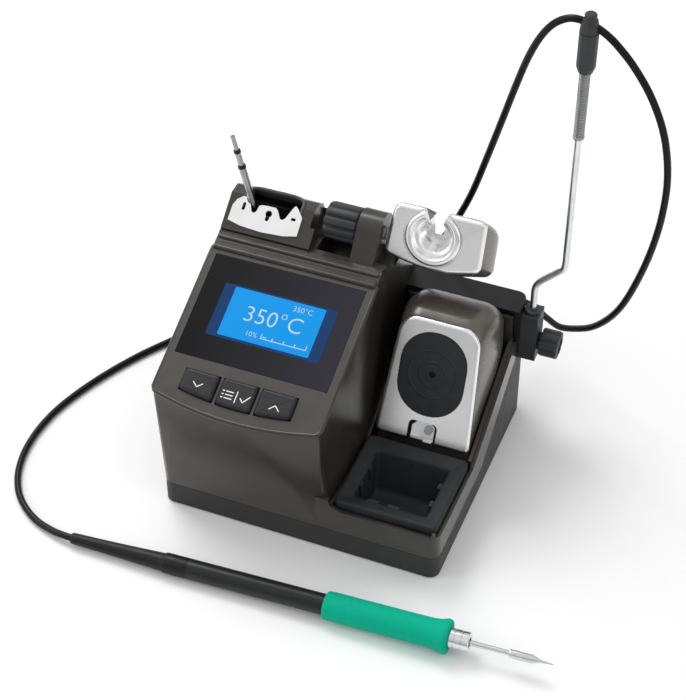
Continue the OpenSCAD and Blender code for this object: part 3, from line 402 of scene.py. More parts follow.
def smooth_line(points, steps):
    """A curve through the points, as closer points along it."""
    line = []
    for i in range(len(points) - 1):
        p0, p1 = points[max(i - 1, 0)], points[i]
        p2, p3 = points[i + 1], points[min(i + 2, len(points) - 1)]
        for step in range(steps):
            t = step / steps
            line.append(0.5 * (2 * p1 + (p2 - p0) * t + (2 * p0 - 5 * p1 + 4 * p2 - p3) * t * t
                               + (3 * p1 - p0 - 3 * p2 + p3) * t ** 3))
    return line + [points[-1]]


def sweep(bm, line, radius, sides=16):
    """A round tube along a line of points, closed at both ends."""
    across = Vector((0.3, 0.2, 1)) if abs((line[1] - line[0]).normalized().z) < 0.9 else Vector(
        (1, 0.3, 0))
    rings = []
    for i, point in enumerate(line):
        ahead = (line[min(i + 1, len(line) - 1)] - line[max(i - 1, 0)]).normalized()
        across = (across - ahead * across.dot(ahead)).normalized()
        third = ahead.cross(across)
        rings.append([bm.verts.new(point + radius * (math.cos(2 * math.pi * k / sides) * across
                                                     + math.sin(2 * math.pi * k / sides) * third))
                      for k in range(sides)])
    for a, b in zip(rings, rings[1:]):
        for k in range(sides):
            bm.faces.new((a[k], a[(k + 1) % sides], b[(k + 1) % sides], b[k]))
    bm.faces.new(rings[0])
    bm.faces.new(rings[-1])


# ---------------------------------------------------------------- cord

# The cord's way from the plug over the clip to the bench behind the station
STATION_ROUTE = [at(*p) for p in (
    (62, 99.8, 45), (62, 105, 45), (63.5, 111, 45.2), (69, 115, 45), (77, 114, 43.5),
    (87, 107, 44), (97, 98, 48), (108, 91, 56), (119, 85, 66), (129, 80, 80), (137, 76, 97),
    (144, 73, 120), (149.5, 71, 145), (152.5, 70, 170), (152.5, 69.5, 195), (148, 69, 220),
    (139.5, 68.5, 241), (129, 68, 257.5), (119, 68, 268.5), (111.5, 68, 274.5),
    (104, 68, 278), (97, 68, 279.5), (91, 68.5, 278), (84.5, 69, 273), (78.5, 69.5, 264),
    (72.5, 70.5, 249.5), (66.5, 72, 229), (60, 74, 204.5), (52, 76.5, 175), (44, 79.5, 147),
    (35, 82.5, 123), (26, 86, 103.5), (16, 90, 85), (5, 94, 66.5), (-7, 97, 49),
    (-20, 99, 32.5), (-33, 100, 18.5), (-45, 100, 9), (-57, 99.5, 3.8), (-69, 98, 2.1),
    (-80, 95.5, 2))]
# And from there along the bench to the hand tool
IRON_ROUTE = [at(*p) for p in (
    (-80, 95.5, 2), (-91, 91.5, 2), (-103, 84.5, 2), (-115, 75, 2), (-126, 62.5, 2),
    (-136, 47, 2), (-146, 31.5, 2), (-154.5, 16, 2), (-162, 0, 2), (-168.5, -17, 2),
    (-173.5, -35, 2), (-175.5, -52, 2), (-175, -67, 2), (-172.5, -80, 2), (-168, -92, 2),
    (-161, -103, 2), (-152, -111.5, 2), (-141.5, -118, 2.3), (-130, -122, 3.2),
    (-122, -123.6, 4.2), (-116, -124, 4.5))]


station_line = smooth_line(STATION_ROUTE, 5)
iron_line = smooth_line(IRON_ROUTE, 5)
cord_up = piece_from("cord_over_arm", lambda bm: sweep(bm, station_line, 2 * MM), "cord",
                     stands_for=("cord_station",))
cord_bench = piece_from("cord_on_bench", lambda bm: sweep(bm, iron_line, 2 * MM), "cord",
                        stands_for=("cord_iron",))
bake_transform(cord_up)
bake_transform(cord_bench)


# ---------------------------------------------------------------- shape makers

# How far the panel and the tip cleaner lean back
LEAN = math.radians(23)
# Each turns flat outlines into place: across is X, up is Y and out of the face is Z
PANEL = Matrix.Translation(at(0, -73, 86)) @ Matrix.Rotation(LEAN, 4, "X")
UPRIGHT = Matrix.Rotation(math.radians(90), 4, "X")
HOLDER = (Matrix.Translation(at(35.1, 42.966, 133.957))
          @ Matrix.Rotation(math.radians(-20), 4, "X") @ UPRIGHT)
COVER = Matrix.Translation(at(50, -14, 38)) @ Matrix.Rotation(-LEAN, 4, "X") @ UPRIGHT
IRON = (Matrix.Translation(at(-116, -124, 4.5)) @ Matrix.Rotation(math.radians(1.8), 4, "Z")
        @ Matrix.Rotation(math.radians(88.6), 4, "Y"))


def sideways(x, y, z):
    """A place for a lathed piece whose axis runs to the right from that point."""
    return Matrix.Translation(at(x, y, z)) @ Matrix.Rotation(math.radians(90), 4, "Y")


def rounded(corners):
    """A closed outline in millimetres, anticlockwise; each corner is (across, up, radius)."""
    line = []
    for i, (x, y, radius) in enumerate(corners):
        here = Vector((x, y))
        before = Vector(corners[i - 1][:2]) - here
        after = Vector(corners[(i + 1) % len(corners)][:2]) - here
        if radius <= 0:
            line.append(here)
            continue
        half = before.angle(after) / 2
        reach = min(radius / math.tan(half), 0.49 * before.length, 0.49 * after.length)
        radius = reach * math.tan(half)
        centre = here + (before.normalized() + after.normalized()).normalized() * (
            radius / math.sin(half))
        start = here + before.normalized() * reach - centre
        turn = math.pi - 2 * half
        if before.x * after.y - before.y * after.x > 0:
            turn = -turn
        steps = max(2, round(abs(turn) / math.radians(11)))
        for k in range(steps + 1):
            line.append(centre + Matrix.Rotation(turn * k / steps, 2) @ start)
    return line


def moved_in(outline, amount):
    """The outline moved inwards by that many millimetres."""
    if not amount:
        return list(outline)
    line = []
    for i, here in enumerate(outline):
        a = (here - outline[i - 1]).normalized()
        b = (outline[(i + 1) % len(outline)] - here).normalized()
        inward = Vector((-a.y - b.y, a.x + b.x))
        if inward.length < 1e-6:
            inward = Vector((-a.y, a.x))
        inward.normalize()
        line.append(here + inward * amount / max(0.5, inward.dot(Vector((-a.y, a.x)))))
    return line


def skin(bm, rings):
    """Joins rings of vertices, each with the next."""
    for a, b in zip(rings, rings[1:]):
        for k in range(len(a)):
            bm.faces.new((a[k - 1], a[k], b[k], b[k - 1]))


def close(bm, rings):
    """Joins rings of vertices and closes both ends."""
    skin(bm, rings)
    bm.faces.new(rings[0])
    bm.faces.new(rings[-1])


def loft(bm, place, sections):
    """A solid through sections, each an (outline, height) with the same number of points."""
    rings = [[bm.verts.new(place @ (Vector((p.x, p.y, height)) * MM)) for p in outline]
             for outline, height in sections]
    close(bm, rings)


def pillow(bm, place, outline, steps):
    """A solid on one outline; each step is (how far in, height), from its back to its front."""
    loft(bm, place, [(moved_in(outline, inset), height) for inset, height in steps])


def finer(outline, step):
    """The same outline with extra points, so that none are further apart than step."""
    line = []
    for i, here in enumerate(outline):
        after = outline[(i + 1) % len(outline)]
        pieces = max(1, math.ceil((after - here).length / step))
        line += [here.lerp(after, k / pieces) for k in range(pieces)]
    return line


def soft_edge(low, high, radius, turns=5):
    """Steps for pillow: straight up from low, then a rounded edge of that radius at high."""
    angles = [math.pi / 2 * k / turns for k in range(turns + 1)]
    return [(0, low)] + [(radius * (1 - math.cos(a)), high - radius + radius * math.sin(a))
                         for a in angles]


def lathe(bm, place, profile, sides=48, lobes=0, depth=0.0, sharp=3):
    """A round solid; the profile is (radius, height) from end to end. Lobes flute its sides."""
    rings = []
    for radius, height in profile:
        ring = []
        for k in range(sides):
            a = 2 * math.pi * k / sides
            groove = depth * (0.5 + 0.5 * math.cos(lobes * a)) ** sharp if lobes else 0
            r = max(radius - groove, 0.2) if lobes else radius
            ring.append(bm.verts.new(place @ (Vector((r * math.cos(a), r * math.sin(a), height))
                                              * MM)))
        rings.append(ring)
    close(bm, rings)


def carve(piece, *makers, edge=0.0):
    """Cuts shapes out of a piece, then rounds the sharp edges that are left."""
    for maker in makers:
        cutter = piece_from(piece.name + "_cutter", maker, "black")
        cut = piece.modifiers.new("cut", "BOOLEAN")
        cut.operation = "DIFFERENCE"
        cut.solver = "EXACT"
        cut.object = cutter
        bpy.context.view_layer.update()
        shape = piece.evaluated_get(bpy.context.evaluated_depsgraph_get())
        mesh = bpy.data.meshes.new_from_object(shape)
        piece.modifiers.clear()
        piece.data = mesh
        bpy.data.objects.remove(cutter)
    for polygon in piece.data.polygons:
        polygon.use_smooth = True
    piece.data.set_sharp_from_angle(angle=math.radians(40))
    if edge:
        bevel = piece.modifiers.new("edges", "BEVEL")
        bevel.width = edge * MM
        bevel.segments = 3
        bevel.limit_method = "ANGLE"
        bevel.angle_limit = math.radians(35)
    piece.modifiers.new("normals", "WEIGHTED_NORMAL").keep_sharp = True
    return piece


def box_outline(x0, y0, x1, y1, radius=0.0):
    """A rectangle with round corners."""
    return rounded([(x0, y0, radius), (x1, y0, radius), (x1, y1, radius), (x0, y1, radius)])


def strokes(bm, place, lines, width, low, high):
    """Printed strokes of that width along lines of points."""
    for line in lines:
        for a, b in zip(line, line[1:]):
            a, b = Vector(a), Vector(b)
            along = (b - a).normalized() * width / 2
            across = Vector((-along.y, along.x))
            pillow(bm, place, [a - along - across, b + along - across, b + along + across,
                               a - along + across], [(0, low), (0, high)])


# ---------------------------------------------------------------- display and keys

piece_from(
    "cover_glass", lambda bm: pillow(bm, PANEL, box_outline(-81.05, 24.15, 8.65, 87.35, 0.9),
                                     soft_edge(-1.6, -0.15, 0.3, 3)),
    "glass", "root", ("display_glass",))
piece_from("display_border", lambda bm: pillow(
    bm, PANEL, box_outline(-69, 39, -2, 71.8, 1), [(0, -0.17), (0, -0.135)]), "border", "root")
piece_from("display_lit", lambda bm: pillow(
    bm, PANEL, box_outline(-62.6, 40.6, -8.6, 70.8, 0.8), [(0, -0.15), (0, -0.12)]),
    "lcd", "root")


def figures(name, text, size, x, y, height=-0.12):
    """Figures on the display, in the panel's plane."""
    font = bpy.data.curves.new(name, "FONT")
    font.body = text
    font.size = size * MM
    font.offset = -0.012 * size * MM
    font.extrude = 0.01 * MM
    font.resolution_u = 4
    letters = bpy.data.objects.new(name, font)
    bpy.context.scene.collection.objects.link(letters)
    bpy.context.view_layer.update()
    mesh = bpy.data.meshes.new_from_object(
        letters.evaluated_get(bpy.context.evaluated_depsgraph_get()))
    bpy.data.objects.remove(letters)
    mesh.transform(PANEL @ Matrix.Translation(at(x, y, height)))
    piece = bpy.data.objects.new(name, mesh)
    bpy.context.scene.collection.objects.link(piece)
    mesh.materials.clear()
    mesh.materials.append(FINISHES["digits"])
    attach(piece, "root")


figures("set_figures", "350°C", 4.6, -27, 65.2)
figures("main_figures", "350°C", 13.5, -52.5, 52.4)
figures("power_figures", "10%", 4.2, -47.5, 44.2)
piece_from("power_scale", lambda bm: strokes(
    bm, PANEL, [[(-38, 44.5), (-11.5, 44.5)]] + [[(x, 44.5), (x, 46.2 + (x in (-38, -11.5)))]
                for x in (-38, -31.4, -24.8, -18.2, -11.5)]
    + [[(-37, 45.6), (-35.2, 45.6)]], 0.45, -0.13, -0.105), "digits", "root")

# Middle of each key, across the panel
KEY_CENTRES = {"key_down": -60.45, "key_menu": -37.75, "key_up": -15.05}


def lip_line(x, from_lip):
    """Height up the panel of a line that runs along its bowed lower edge."""
    return 178.62 - math.sqrt((185.22 - from_lip) ** 2 - (x + 36) ** 2)


def panel_edge(bm):
    """The rounded rim of the casing round the panel, along its sides and bowed lip."""
    points = [(-36, 91), (-60, 91), (-83, 91), (-84.4, 90.4), (-85, 89), (-85, 60), (-85, 20),
              (-85, 3.4), (-84.5, 1.4), (-83, -0.5)]
    points += [(x, lip_line(x, 0)) for x in range(-78, 7, 7)]
    points += [(11, -0.5), (12.5, 1.4), (13, 3.4), (13, 20), (13, 60), (13, 89), (12.4, 90.4),
               (11, 91), (-12, 91), (-36, 91)]
    line = smooth_line([PANEL @ at(x, v, -1.25) for x, v in points], 5)
    sweep(bm, line, 1.35 * MM, 16)


piece_from("panel_edge", panel_edge, "casing", "root")

for name, centre in KEY_CENTRES.items():
    low_edge = [(centre + dx, lip_line(centre + dx, 7), 2.6 if abs(dx) > 10 else 0)
                for dx in (-10.25, -6, -2, 2, 6, 10.25)]
    outline = rounded(low_edge + [(centre + 10.25, 16.6, 1.8), (centre - 10.25, 16.6, 1.8)])
    piece_from(name + "_cap", lambda bm: pillow(bm, PANEL, outline,
                                                [(0, -3.5), (0, 0.3), (0.15, 1.0), (0.5, 1.5),
                                                 (1.1, 1.85), (2.0, 2.0)]),
               "key", name + "_body", (name,))

# Signs on the keys: arrows down and up, and a list with a tick
ICONS = {
    "key_down": [[(-63.3, 9.3), (-60.6, 6.9), (-57.9, 9.3)]],
    "key_up": [[(-17.6, 5.9), (-14.9, 8.5), (-12.2, 5.9)]],
    "key_menu": ([[(-45.6, y), (-44.9, y)] for y in (9.2, 7.2, 5.2)]
                 + [[(-43.6, y), (-39.6, y)] for y in (9.2, 7.2, 5.2)]
                 + [[(-37.4, 4), (-37.4, 10.2)]]
                 + [[(-34.8, 7), (-33, 5), (-29.8, 9.2)]]),
}
for name, lines in ICONS.items():
    piece_from(name + "_mark", lambda bm: strokes(bm, PANEL, lines, 0.55, 1.95, 2.03),
               "print", name + "_body")


# ---------------------------------------------------------------- tip cleaner

COVER_OUTLINE = rounded([(-28, 0, 3.4), (28, 0, 3.4), (24.6, 52, 40), (23, 73, 17), (-23, 73, 17),
                         (-24.6, 52, 40)])
MEMBRANE_OUTLINE = box_outline(-19.5, 16.7, 19.5, 66.7, 18.6)

cover = piece_from("cleaner_cover_shell", lambda bm: pillow(
    bm, COVER, COVER_OUTLINE, [(0.6, -3), (0.1, -2.6), (0, -2.2), (0.15, -1.3), (0.6, -0.6),
                               (1.3, -0.18), (2.4, 0)]), "cover", "cleaner_cover",
    ("cleaner_front",))
carve(cover, lambda bm: pillow(bm, COVER, moved_in(MEMBRANE_OUTLINE, 0.05), [(0, -6), (0, 3)]),
      lambda bm: pillow(bm, COVER, box_outline(-8.6, -6, 8.2, 12.9, 3), [(0, -6), (0, 3)]))


def membrane_shape(bm):
    """A soft rounded oblong with two moulded rings round a small centre hole."""
    centre = Vector((0, 41.7))
    sides = 72
    # how far the oblong's edge is from the centre, along each ray
    edge_points = []
    for k in range(sides):
        a = 2 * math.pi * k / sides
        ray = Vector((math.cos(a), math.sin(a)))
        lo, hi = 10.0, 40.0
        for _ in range(30):
            mid = (lo + hi) / 2
            p = ray * mid
            over = Vector((max(abs(p.x) - 0.9, 0), max(abs(p.y) - 6.4, 0))).length
            lo, hi = (mid, hi) if over < 18.5 else (lo, mid)
        edge_points.append(lo)
    heights = [(1.9, -3.5), (1.9, -0.4), (2.2, 0.05), (2.8, 0.1), (3.4, -0.15), (6.6, -0.35),
               (7.0, -0.1), (7.6, -0.1), (8.0, -0.38), (13.2, -0.45), (13.6, -0.2),
               (14.2, -0.2), (14.6, -0.45), (17.0, -0.45)]
    rings = [[(r, h)] * sides for r, h in heights]
    rings += [[(e - 1.0, -0.45) for e in edge_points], [(e - 0.3, -0.6) for e in edge_points],
              [(e, -1.0) for e in edge_points], [(e, -2.9) for e in edge_points]]
    grid = [[bm.verts.new(COVER @ (Vector((centre.x + r * math.cos(2 * math.pi * k / sides),
                                           centre.y + r * math.sin(2 * math.pi * k / sides), h))
                                   * MM)) for k, (r, h) in enumerate(ring)] for ring in rings]
    close(bm, grid)


piece_from("cleaner_membrane_disc", membrane_shape, "rubber", "cleaner_cover",
           ("cleaner_membrane",), 30)


# Height of the hood up its leaning front, and its rear face, in millimetres
HOOD_HIGH, HOOD_REAR = 73, 50.5


def hood_shape(bm):
    """The hood: from behind the cover it swells over a broad shoulder to its square rear."""
    front = moved_in(rounded([(-28, 0, 0), (28, 0, 0), (28, 1, 0), (24.6, 52, 40),
                              (23, 73, 17), (-23, 73, 17), (-24.6, 52, 40), (-28, 1, 0)]), 0.5)
    sides = finer(front[2:], 5)
    front = front[:2] + sides[:sides.index(front[-1]) + 1]
    rear = []
    for p in front:
        up = max(p.y, 0) / HOOD_HIGH
        rear.append(Vector((math.copysign(min(abs(p.x) * (1 + 0.16 * up), 27.8), p.x),
                            8.4 + 89.6 * up)))
    rings = []
    # how far back each ring lies, from 0 to 1, and how far it swells out
    for t, grow in ((0, -1.6), (0.015, -0.6), (0.04, -0.1), (0.07, 0.3), (0.1, 0.7), (0.15, 1.3),
                    (0.2, 1.7), (0.27, 2.0), (0.35, 2.2), (0.45, 2.2), (0.55, 2.0), (0.65, 1.7),
                    (0.75, 1.2), (0.84, 0.6), (0.9, 0.1), (0.94, -0.6), (0.97, -1.4),
                    (0.99, -2.4), (1.0, -3.4)):
        ring = []
        for p, q in zip(front, rear):
            up = max(p.y, 0) / HOOD_HIGH
            y0 = -14 + p.y * math.sin(LEAN) + 3 * math.cos(LEAN)
            z0 = 38 + p.y * math.cos(LEAN) - 3 * math.sin(LEAN)
            if p.y < 1:
                y0, z0 = -10.3, 8.4
            x = p.x + (q.x - p.x) * min(1, t * 1.6)
            y = y0 + (HOOD_REAR - y0) * t
            z = z0 + (q.y - z0) * t ** 1.7
            outward = grow * up
            rise = min(max((up - 0.55) / 0.45, 0), 1)
            x += outward * 0.7 * x / 28
            z += outward * rise * rise * (3 - 2 * rise)
            x = max(-28.2, min(28.2, x))
            ring.append(bm.verts.new(Vector((50 + x, y, z)) * MM))
        rings.append(ring)
    skin(bm, rings)
    # the front is not flat, so it closes in two faces: the foot, and the part above it
    bm.faces.new(rings[0][:2] + [rings[0][2], rings[0][-1]])
    bm.faces.new(rings[0][2:])
    bm.faces.new(rings[-1])


piece_from("cleaner_hood", hood_shape, "hood", "root", ("cleaner_housing",), 70)


def tray_shape(bm):
    """Waste tray: a rim that slopes inwards, then walls that taper to a soft-cornered floor."""
    sections = []
    for inset, back, height, radius in (
            (0.6, 0, 8.3, 2.4), (0, 0, 9, 3), (0, 0, 35.6, 3), (0.35, 0, 36.5, 3),
            (1.1, 0, 36.95, 2.6), (2.2, 0, 37, 2.2), (7.4, 0, 35.3, 2), (8.3, 0.2, 34.7, 2.2),
            (8.8, 0.6, 33.6, 2.4), (9.8, 6, 13.5, 2.6), (10.8, 7.5, 11.2, 2.6),
            (12.6, 9, 10.5, 2.6)):
        sections.append((box_outline(20.1 + inset, -71.4 + inset, 79.9 - inset,
                                     -15.8 - inset - back, radius), height))
    loft(bm, Matrix(), sections)
    # clips on the front inner edge, and ribs down the side and rear walls
    for x0, x1 in ((37, 43.5), (49, 55.5)):
        loft(bm, Matrix(), [(box_outline(x0, -63.9, x1, -61.6, 0.5), 32.2),
                            (box_outline(x0, -63.9, x1, -61.6, 0.5), 35.0)])
    for x in (29.2, 70.4):
        for y in (-52, -38):
            loft(bm, Matrix(), [(box_outline(x - 1.1, y - 2, x + 1.1, y + 2, 0.5), 26),
                                (box_outline(x - 1.1, y - 2, x + 1.1, y + 2, 0.5), 34.4)])
    for x in (38, 50, 62):
        loft(bm, Matrix(), [(box_outline(x - 0.4, -27.4, x + 0.4, -25, 0.2), 18),
                            (box_outline(x - 0.4, -26.2, x + 0.4, -24, 0.2), 33)])


piece_from("waste_tray_moulding", tray_shape, "tray", "tray", ("waste_tray",), 40)


# ---------------------------------------------------------------- tool holder

# The face's corners, and the slot that the hand tool drops through
FACE_CORNERS = [(-28, -10.4, 4.5), (-7, -14, 9), (10, -14, 9), (28.3, -9.8, 4.5),
                (28.2, 20.5, 3.6), (-25, 20.3, 5)]
FACE_OUTLINE = rounded(FACE_CORNERS)
SLOT_OUTLINE = rounded([(-3.0, 3.5, 0), (1.8, 3.5, 0), (3.0, 11, 8), (6.2, 19.6, 4),
                        (12, 42, 0), (-13, 42, 0), (-7.4, 19.6, 4), (-4.2, 11, 8)])
face = piece_from("holder_face_casting", lambda bm: pillow(
    bm, HOLDER, FACE_OUTLINE, [(0.8, 0), (0, 0.8), (0, 1.6), (0.2, 2.4), (0.7, 3.2),
                               (1.5, 3.75), (2.6, 4)]), "silver", "holder", ("holder_face",))
carve(face, lambda bm: lathe(bm, HOLDER @ Matrix.Translation(at(-0.6, 5, -2)),
                             [(15.9, 0), (15.9, 4.4), (17.3, 4.5), (17.3, 9)], 64),
      lambda bm: pillow(bm, HOLDER, SLOT_OUTLINE, [(0, -4), (0, 12)]), edge=0.7)
funnel = piece_from("holder_funnel_casting", lambda bm: lathe(
    bm, HOLDER @ Matrix.Translation(at(-0.6, 5, 0)),
    [(5.6, -9), (9.4, -9), (9.4, -0.2), (15.8, 0), (16.0, 1), (16.2, 3.6), (16.1, 4.4),
     (15.6, 5.1), (14.8, 5.6), (13.8, 5.8), (12.8, 5.6), (12.0, 5.0), (11.5, 4.1), (11.2, 3.0),
     (10.7, 2.2), (9.6, 1.8), (8.9, 1.4), (8.5, 0.6), (7.8, -1.0), (6.9, -2.8), (6.2, -4.2),
     (5.8, -5.4), (5.6, -7), (5.6, -8.9)], 64), "silver", "holder", ("holder_funnel",), 60)
carve(funnel, lambda bm: pillow(bm, HOLDER, moved_in(SLOT_OUTLINE, 0.1), [(0, -30), (0, 12)]),
      edge=0.5)


def holder_section(size, softer, depth):
    """The face's outline with rounder corners, for the block that sinks away behind it."""
    return rounded([(x * size + 0.2 * depth, (y - 3) * size + 3 - 0.46 * depth, r + softer)
                    for x, y, r in FACE_CORNERS]), -depth


body = piece_from("holder_block", lambda bm: loft(
    bm, HOLDER, [holder_section(0.8, 2, 24), holder_section(0.86, 2, 23.2),
                 holder_section(0.93, 2, 20.8), holder_section(0.965, 1.5, 16.5),
                 holder_section(0.985, 1, 10), holder_section(0.985, 0.5, 4),
                 holder_section(0.985, 0.2, 0.2)]), "hood", "holder", ("holder_body",), 40)
carve(body, lambda bm: pillow(bm, HOLDER, SLOT_OUTLINE, [(0, -30), (0, 4)]),
      lambda bm: lathe(bm, HOLDER @ Matrix.Translation(at(-0.6, 5, -30)),
                       [(9.6, 0), (9.6, 40)], 48), edge=0.6)


# ---------------------------------------------------------------- ridge, knob and corner

# Two ribs along the ridge, over the casing's top
for at_y, at_z, thick in ((12.6, 122.0, 3.0), (19.6, 124.1, 3.4)):
    piece_from("ridge_rib_%d" % at_y, lambda bm: pillow(
        bm, Matrix.Translation(at(0, at_y, at_z)) @ Matrix.Rotation(math.radians(90), 4, "Z")
        @ UPRIGHT, rounded([(-thick, -3, 1.5), (thick, -3, 1.5), (thick, 1.4, 1.3),
                            (-thick, 1.4, 1.3)]), [(1.4, -84.6), (0.4, -84.2), (0, -83.4),
                                                   (0, 11.4), (0.4, 12.2), (1.4, 12.7)]),
        "casing", "root", (), 30)
piece_from("clamp_knob_ribbed", lambda bm: lathe(
    bm, sideways(-28, 42.966, 133.957),
    [(9.0, 0), (10.2, 0.6), (10.8, 1.8), (10.8, 18.2), (10.2, 19.4), (9.0, 20)], 160, 10, 1.7,
    4), "grey", "holder_knob_body", ("holder_knob",), 60)

# The console's corner runs into the bay's front wall with a hollow curve
piece_from("bay_corner", lambda bm: pillow(
    bm, Matrix.Translation(at(0, -75, 0)) @ UPRIGHT,
    [Vector((11, 16.5)), Vector((30, 16.5)), Vector((30, 32.4))]
    + [Vector((25.6 - 7 * math.sin(a), 39.4 - 7 * math.cos(a)))
       for a in (k * math.pi / 16 for k in range(9))] + [Vector((11, 39.4))],
    [(0, -2.4), (0, 0.05)]), "casing", "root")


# ---------------------------------------------------------------- tip changer

# The rolled rim of the pocket behind the notched plate
rim_line = smooth_line([at(*p) for p in (
    (-76.2, 33.2, 135.6), (-76.4, 38, 139.2), (-75.6, 43.2, 140.3), (-71.5, 46.2, 140.5),
    (-60, 46.6, 140.5), (-48, 46.4, 140.5), (-43, 44, 140.3), (-41.9, 39, 139.4),
    (-41.9, 34, 136.2))], 5)
piece_from("pocket_rim", lambda bm: sweep(bm, rim_line, 1.1 * MM, 12), "rim", "root")


# ---------------------------------------------------------------- cable arm

# Across and back of the rod's upper run; the clip and the spring stand on it
ROD_X, ROD_Y = 103.5, 68
rod_line = smooth_line([at(87.5, ROD_Y, z) for z in (68, 80, 92, 98)]
                       + [at(x, ROD_Y, z) for x, z in ((88.3, 102.4), (91.2, 106.4), (99.8, 114.8),
                                                      (102.7, 118.4))]
                       + [at(ROD_X, ROD_Y, z) for z in (123, 132, 160, 190, 211)], 6)
piece_from("cranked_rod", lambda bm: sweep(bm, rod_line, 2 * MM, 20), "polish", "arm",
           ("arm_rod",))


def spring_shape(bm):
    """A close-wound spring over a core tube, with a plain ring at its foot."""
    turns, per_turn = 40, 14
    line = [at(ROD_X + 2.6 * math.cos(2 * math.pi * k / per_turn),
               ROD_Y + 2.6 * math.sin(2 * math.pi * k / per_turn),
               209 + 40 * k / per_turn / turns)
            for k in range(turns * per_turn + 1)]
    sweep(bm, line, 0.45 * MM, 8)
    lathe(bm, Matrix.Translation(at(ROD_X, ROD_Y, 208.2)), [(1.9, 0), (2.1, 0.4), (2.1, 41.6)], 24)
    lathe(bm, Matrix.Translation(at(ROD_X, ROD_Y, 208)),
          [(2.1, 0), (3.1, 0.2), (3.2, 0.6), (3.2, 1.6), (2.8, 2)], 32)


piece_from("arm_coil_spring", spring_shape, "spring", "arm", ("arm_spring",), 60)
piece_from("clip_lower", lambda bm: lathe(
    bm, Matrix.Translation(at(ROD_X, ROD_Y, 250)),
    [(3.2, -0.6), (3.9, -0.2), (4.9, 2.8), (5.2, 3.8), (5.2, 23.2), (5.0, 23.6)], 12),
    "grey", "arm", ("clip_body",), 25)
piece_from("clip_upper", lambda bm: lathe(
    bm, Matrix.Translation(at(ROD_X, ROD_Y, 250)),
    [(4.9, 23.8), (5.2, 24.1), (4.9, 27), (3.9, 31), (3.3, 31.6), (3.3, 33.6), (2.9, 34.2),
     (2.2, 34.4)], 12),
    "grey", "arm", ("clip_cap",), 25)
piece_from("arm_knob_ribbed", lambda bm: lathe(
    bm, sideways(92.8, ROD_Y, 61),
    [(5.2, 0), (5.4, 0.3), (5.4, 1.2), (7.9, 1.5), (8.4, 2.3), (8.4, 11.2), (7.8, 12.1),
     (6, 12.4), (5.4, 12.4), (5.0, 11.6), (2.5, 11.4)], 128, 8, 1.3, 4),
    "grey", "arm_knob_body", ("arm_knob",), 50)


# ---------------------------------------------------------------- hand tool

piece_from("strain_relief", lambda bm: lathe(
    bm, IRON, [(2.1, 1.4), (2.1, 0.2), (2.7, 0), (3.1, 0.5), (3.25, 3), (3.5, 14), (3.95, 28),
               (4.5, 42), (4.95, 52), (5.1, 56.2), (5.65, 56.9), (5.8, 57.6), (5.8, 70.6),
               (5.6, 71)]), "relief", "iron", ("iron_relief",), 40)
piece_from("foam_grip", lambda bm: lathe(
    bm, IRON @ Matrix.Translation(at(0, 0, 151)),
    [(5.85, 0.2), (6.9, 0), (7.5, 0.5), (7.8, 1.5), (7.9, 4), (7.9, 24), (7.9, 40),
     (7.9, 56), (8.0, 60), (8.4, 63.4), (9.1, 65.6), (9.6, 67), (9.65, 68.1), (9.35, 69.3),
     (8.7, 69.9), (7.9, 70), (6.2, 69.8), (5.85, 69.2)], 64), "grip", "iron",
    ("iron_grip",), 60)
piece_from("collar_turned", lambda bm: lathe(
    bm, IRON @ Matrix.Translation(at(0, 0, 217)),
    [(2.9, 11.6), (2.9, 14.9), (3.1, 15), (5.3, 15), (5.55, 14.8), (5.6, 14.5),
     (5.6, 11.2), (5.35, 11), (5.35, 10.7), (5.6, 10.5), (5.6, 7.2), (5.35, 7), (5.35, 6.7),
     (5.6, 6.5), (5.6, 4.2), (5.5, 0.2), (2.9, 0)][::-1]), "polish", "iron",
    ("iron_collar",), 25)
piece_from("cartridge_turned", lambda bm: lathe(
    bm, IRON @ Matrix.Translation(at(0, 0, 181)),
    [(1.5, 0), (1.5, 52.6), (1.45, 72.6), (2.2, 72.8), (2.4, 73.2), (2.4, 84.8), (2.3, 85.4),
     (2.0, 86)], 32), "cartridge", "cartridge", ("iron_cartridge",), 30)
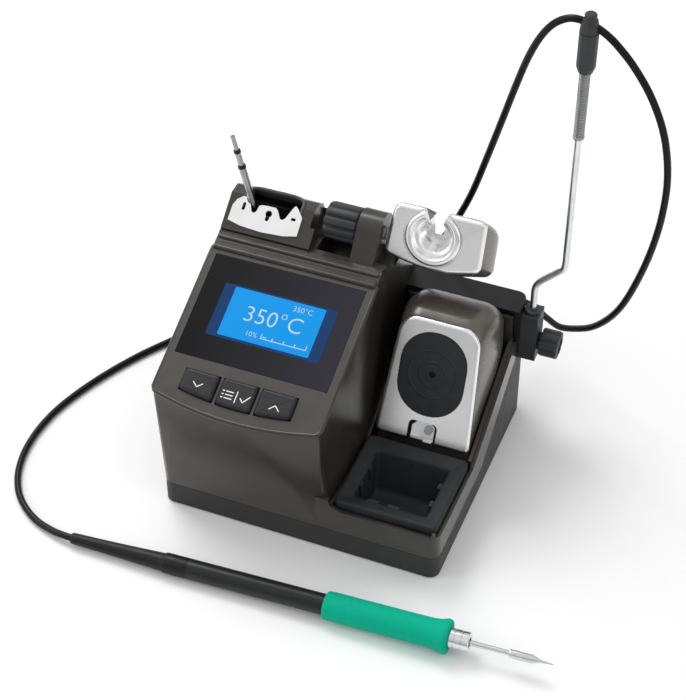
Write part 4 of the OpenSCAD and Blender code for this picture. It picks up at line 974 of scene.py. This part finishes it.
piece_from("tip_turned", lambda bm: lathe(
    bm, IRON @ Matrix.Translation(at(0, 0, 267)),
    [(2.0, -0.1), (1.9, 0.4), (1.25, 2.4), (0.95, 3.2), (0.8, 4.0), (0.5, 7.0), (0.3, 9.4),
     (0.2, 10.3), (0.1, 10.5)], 32), "cartridge", "cartridge", ("iron_tip",), 40)


# ---------------------------------------------------------------- bench and light

# Plain colours, as in a product picture, with no filmic curve over them
bpy.context.scene.view_settings.view_transform = "Standard"

floor_mesh = bpy.data.meshes.new("bench")
floor_mesh.from_pydata([(-4, -4, 0), (4, -4, 0), (4, 4, 0), (-4, 4, 0)], [], [(0, 1, 2, 3)])
bench = bpy.data.objects.new("bench", floor_mesh)
bpy.context.scene.collection.objects.link(bench)
bench_paper, bench_tree, bench_shader, bench_place = surface("bench_paper", "#f6f6f6", 0.8)
mottle(bench_tree, bench_shader, bench_place, 60, 0.75, 0.85)
floor_mesh.materials.append(bench_paper)

world = bpy.data.worlds.new("studio")
bpy.context.scene.world = world
world.use_nodes = True
backdrop = world.node_tree.nodes["Background"]
direction = add(world.node_tree, "ShaderNodeTexCoord")
upward = add(world.node_tree, "ShaderNodeSeparateXYZ", {"Vector": direction.outputs["Generated"]})
sky = add(world.node_tree, "ShaderNodeMapRange", {"Value": upward.outputs["Z"], "From Min": -0.1,
                                                  "From Max": 0.8, "To Min": 0.3, "To Max": 1.0})
world.node_tree.links.new(sky.outputs["Result"], backdrop.inputs["Color"])
backdrop.inputs["Strength"].default_value = 0.85


def softbox(name, place, aim, width, height, power):
    """A soft rectangular lamp at a place, aimed at a point."""
    light = bpy.data.lights.new(name, "AREA")
    light.shape = "RECTANGLE"
    light.size = width
    light.size_y = height
    light.energy = power
    lamp = bpy.data.objects.new(name, light)
    bpy.context.scene.collection.objects.link(lamp)
    lamp.location = place
    lamp.rotation_euler = (Vector(place) - Vector(aim)).to_track_quat("Z", "Y").to_euler()


# A large soft key from behind on the left, a fill from the left, a thin strip on the right
softbox("key_softbox", (-0.9, 0.6, 1.5), (0, 0, 0.05), 0.9, 0.9, 16)
softbox("side_softbox", (-1.2, -0.7, 0.7), (0, 0, 0.05), 0.6, 0.9, 4)
softbox("right_strip", (1.3, -0.2, 0.6), (0.05, 0, 0.05), 0.3, 1.0, 1.5)
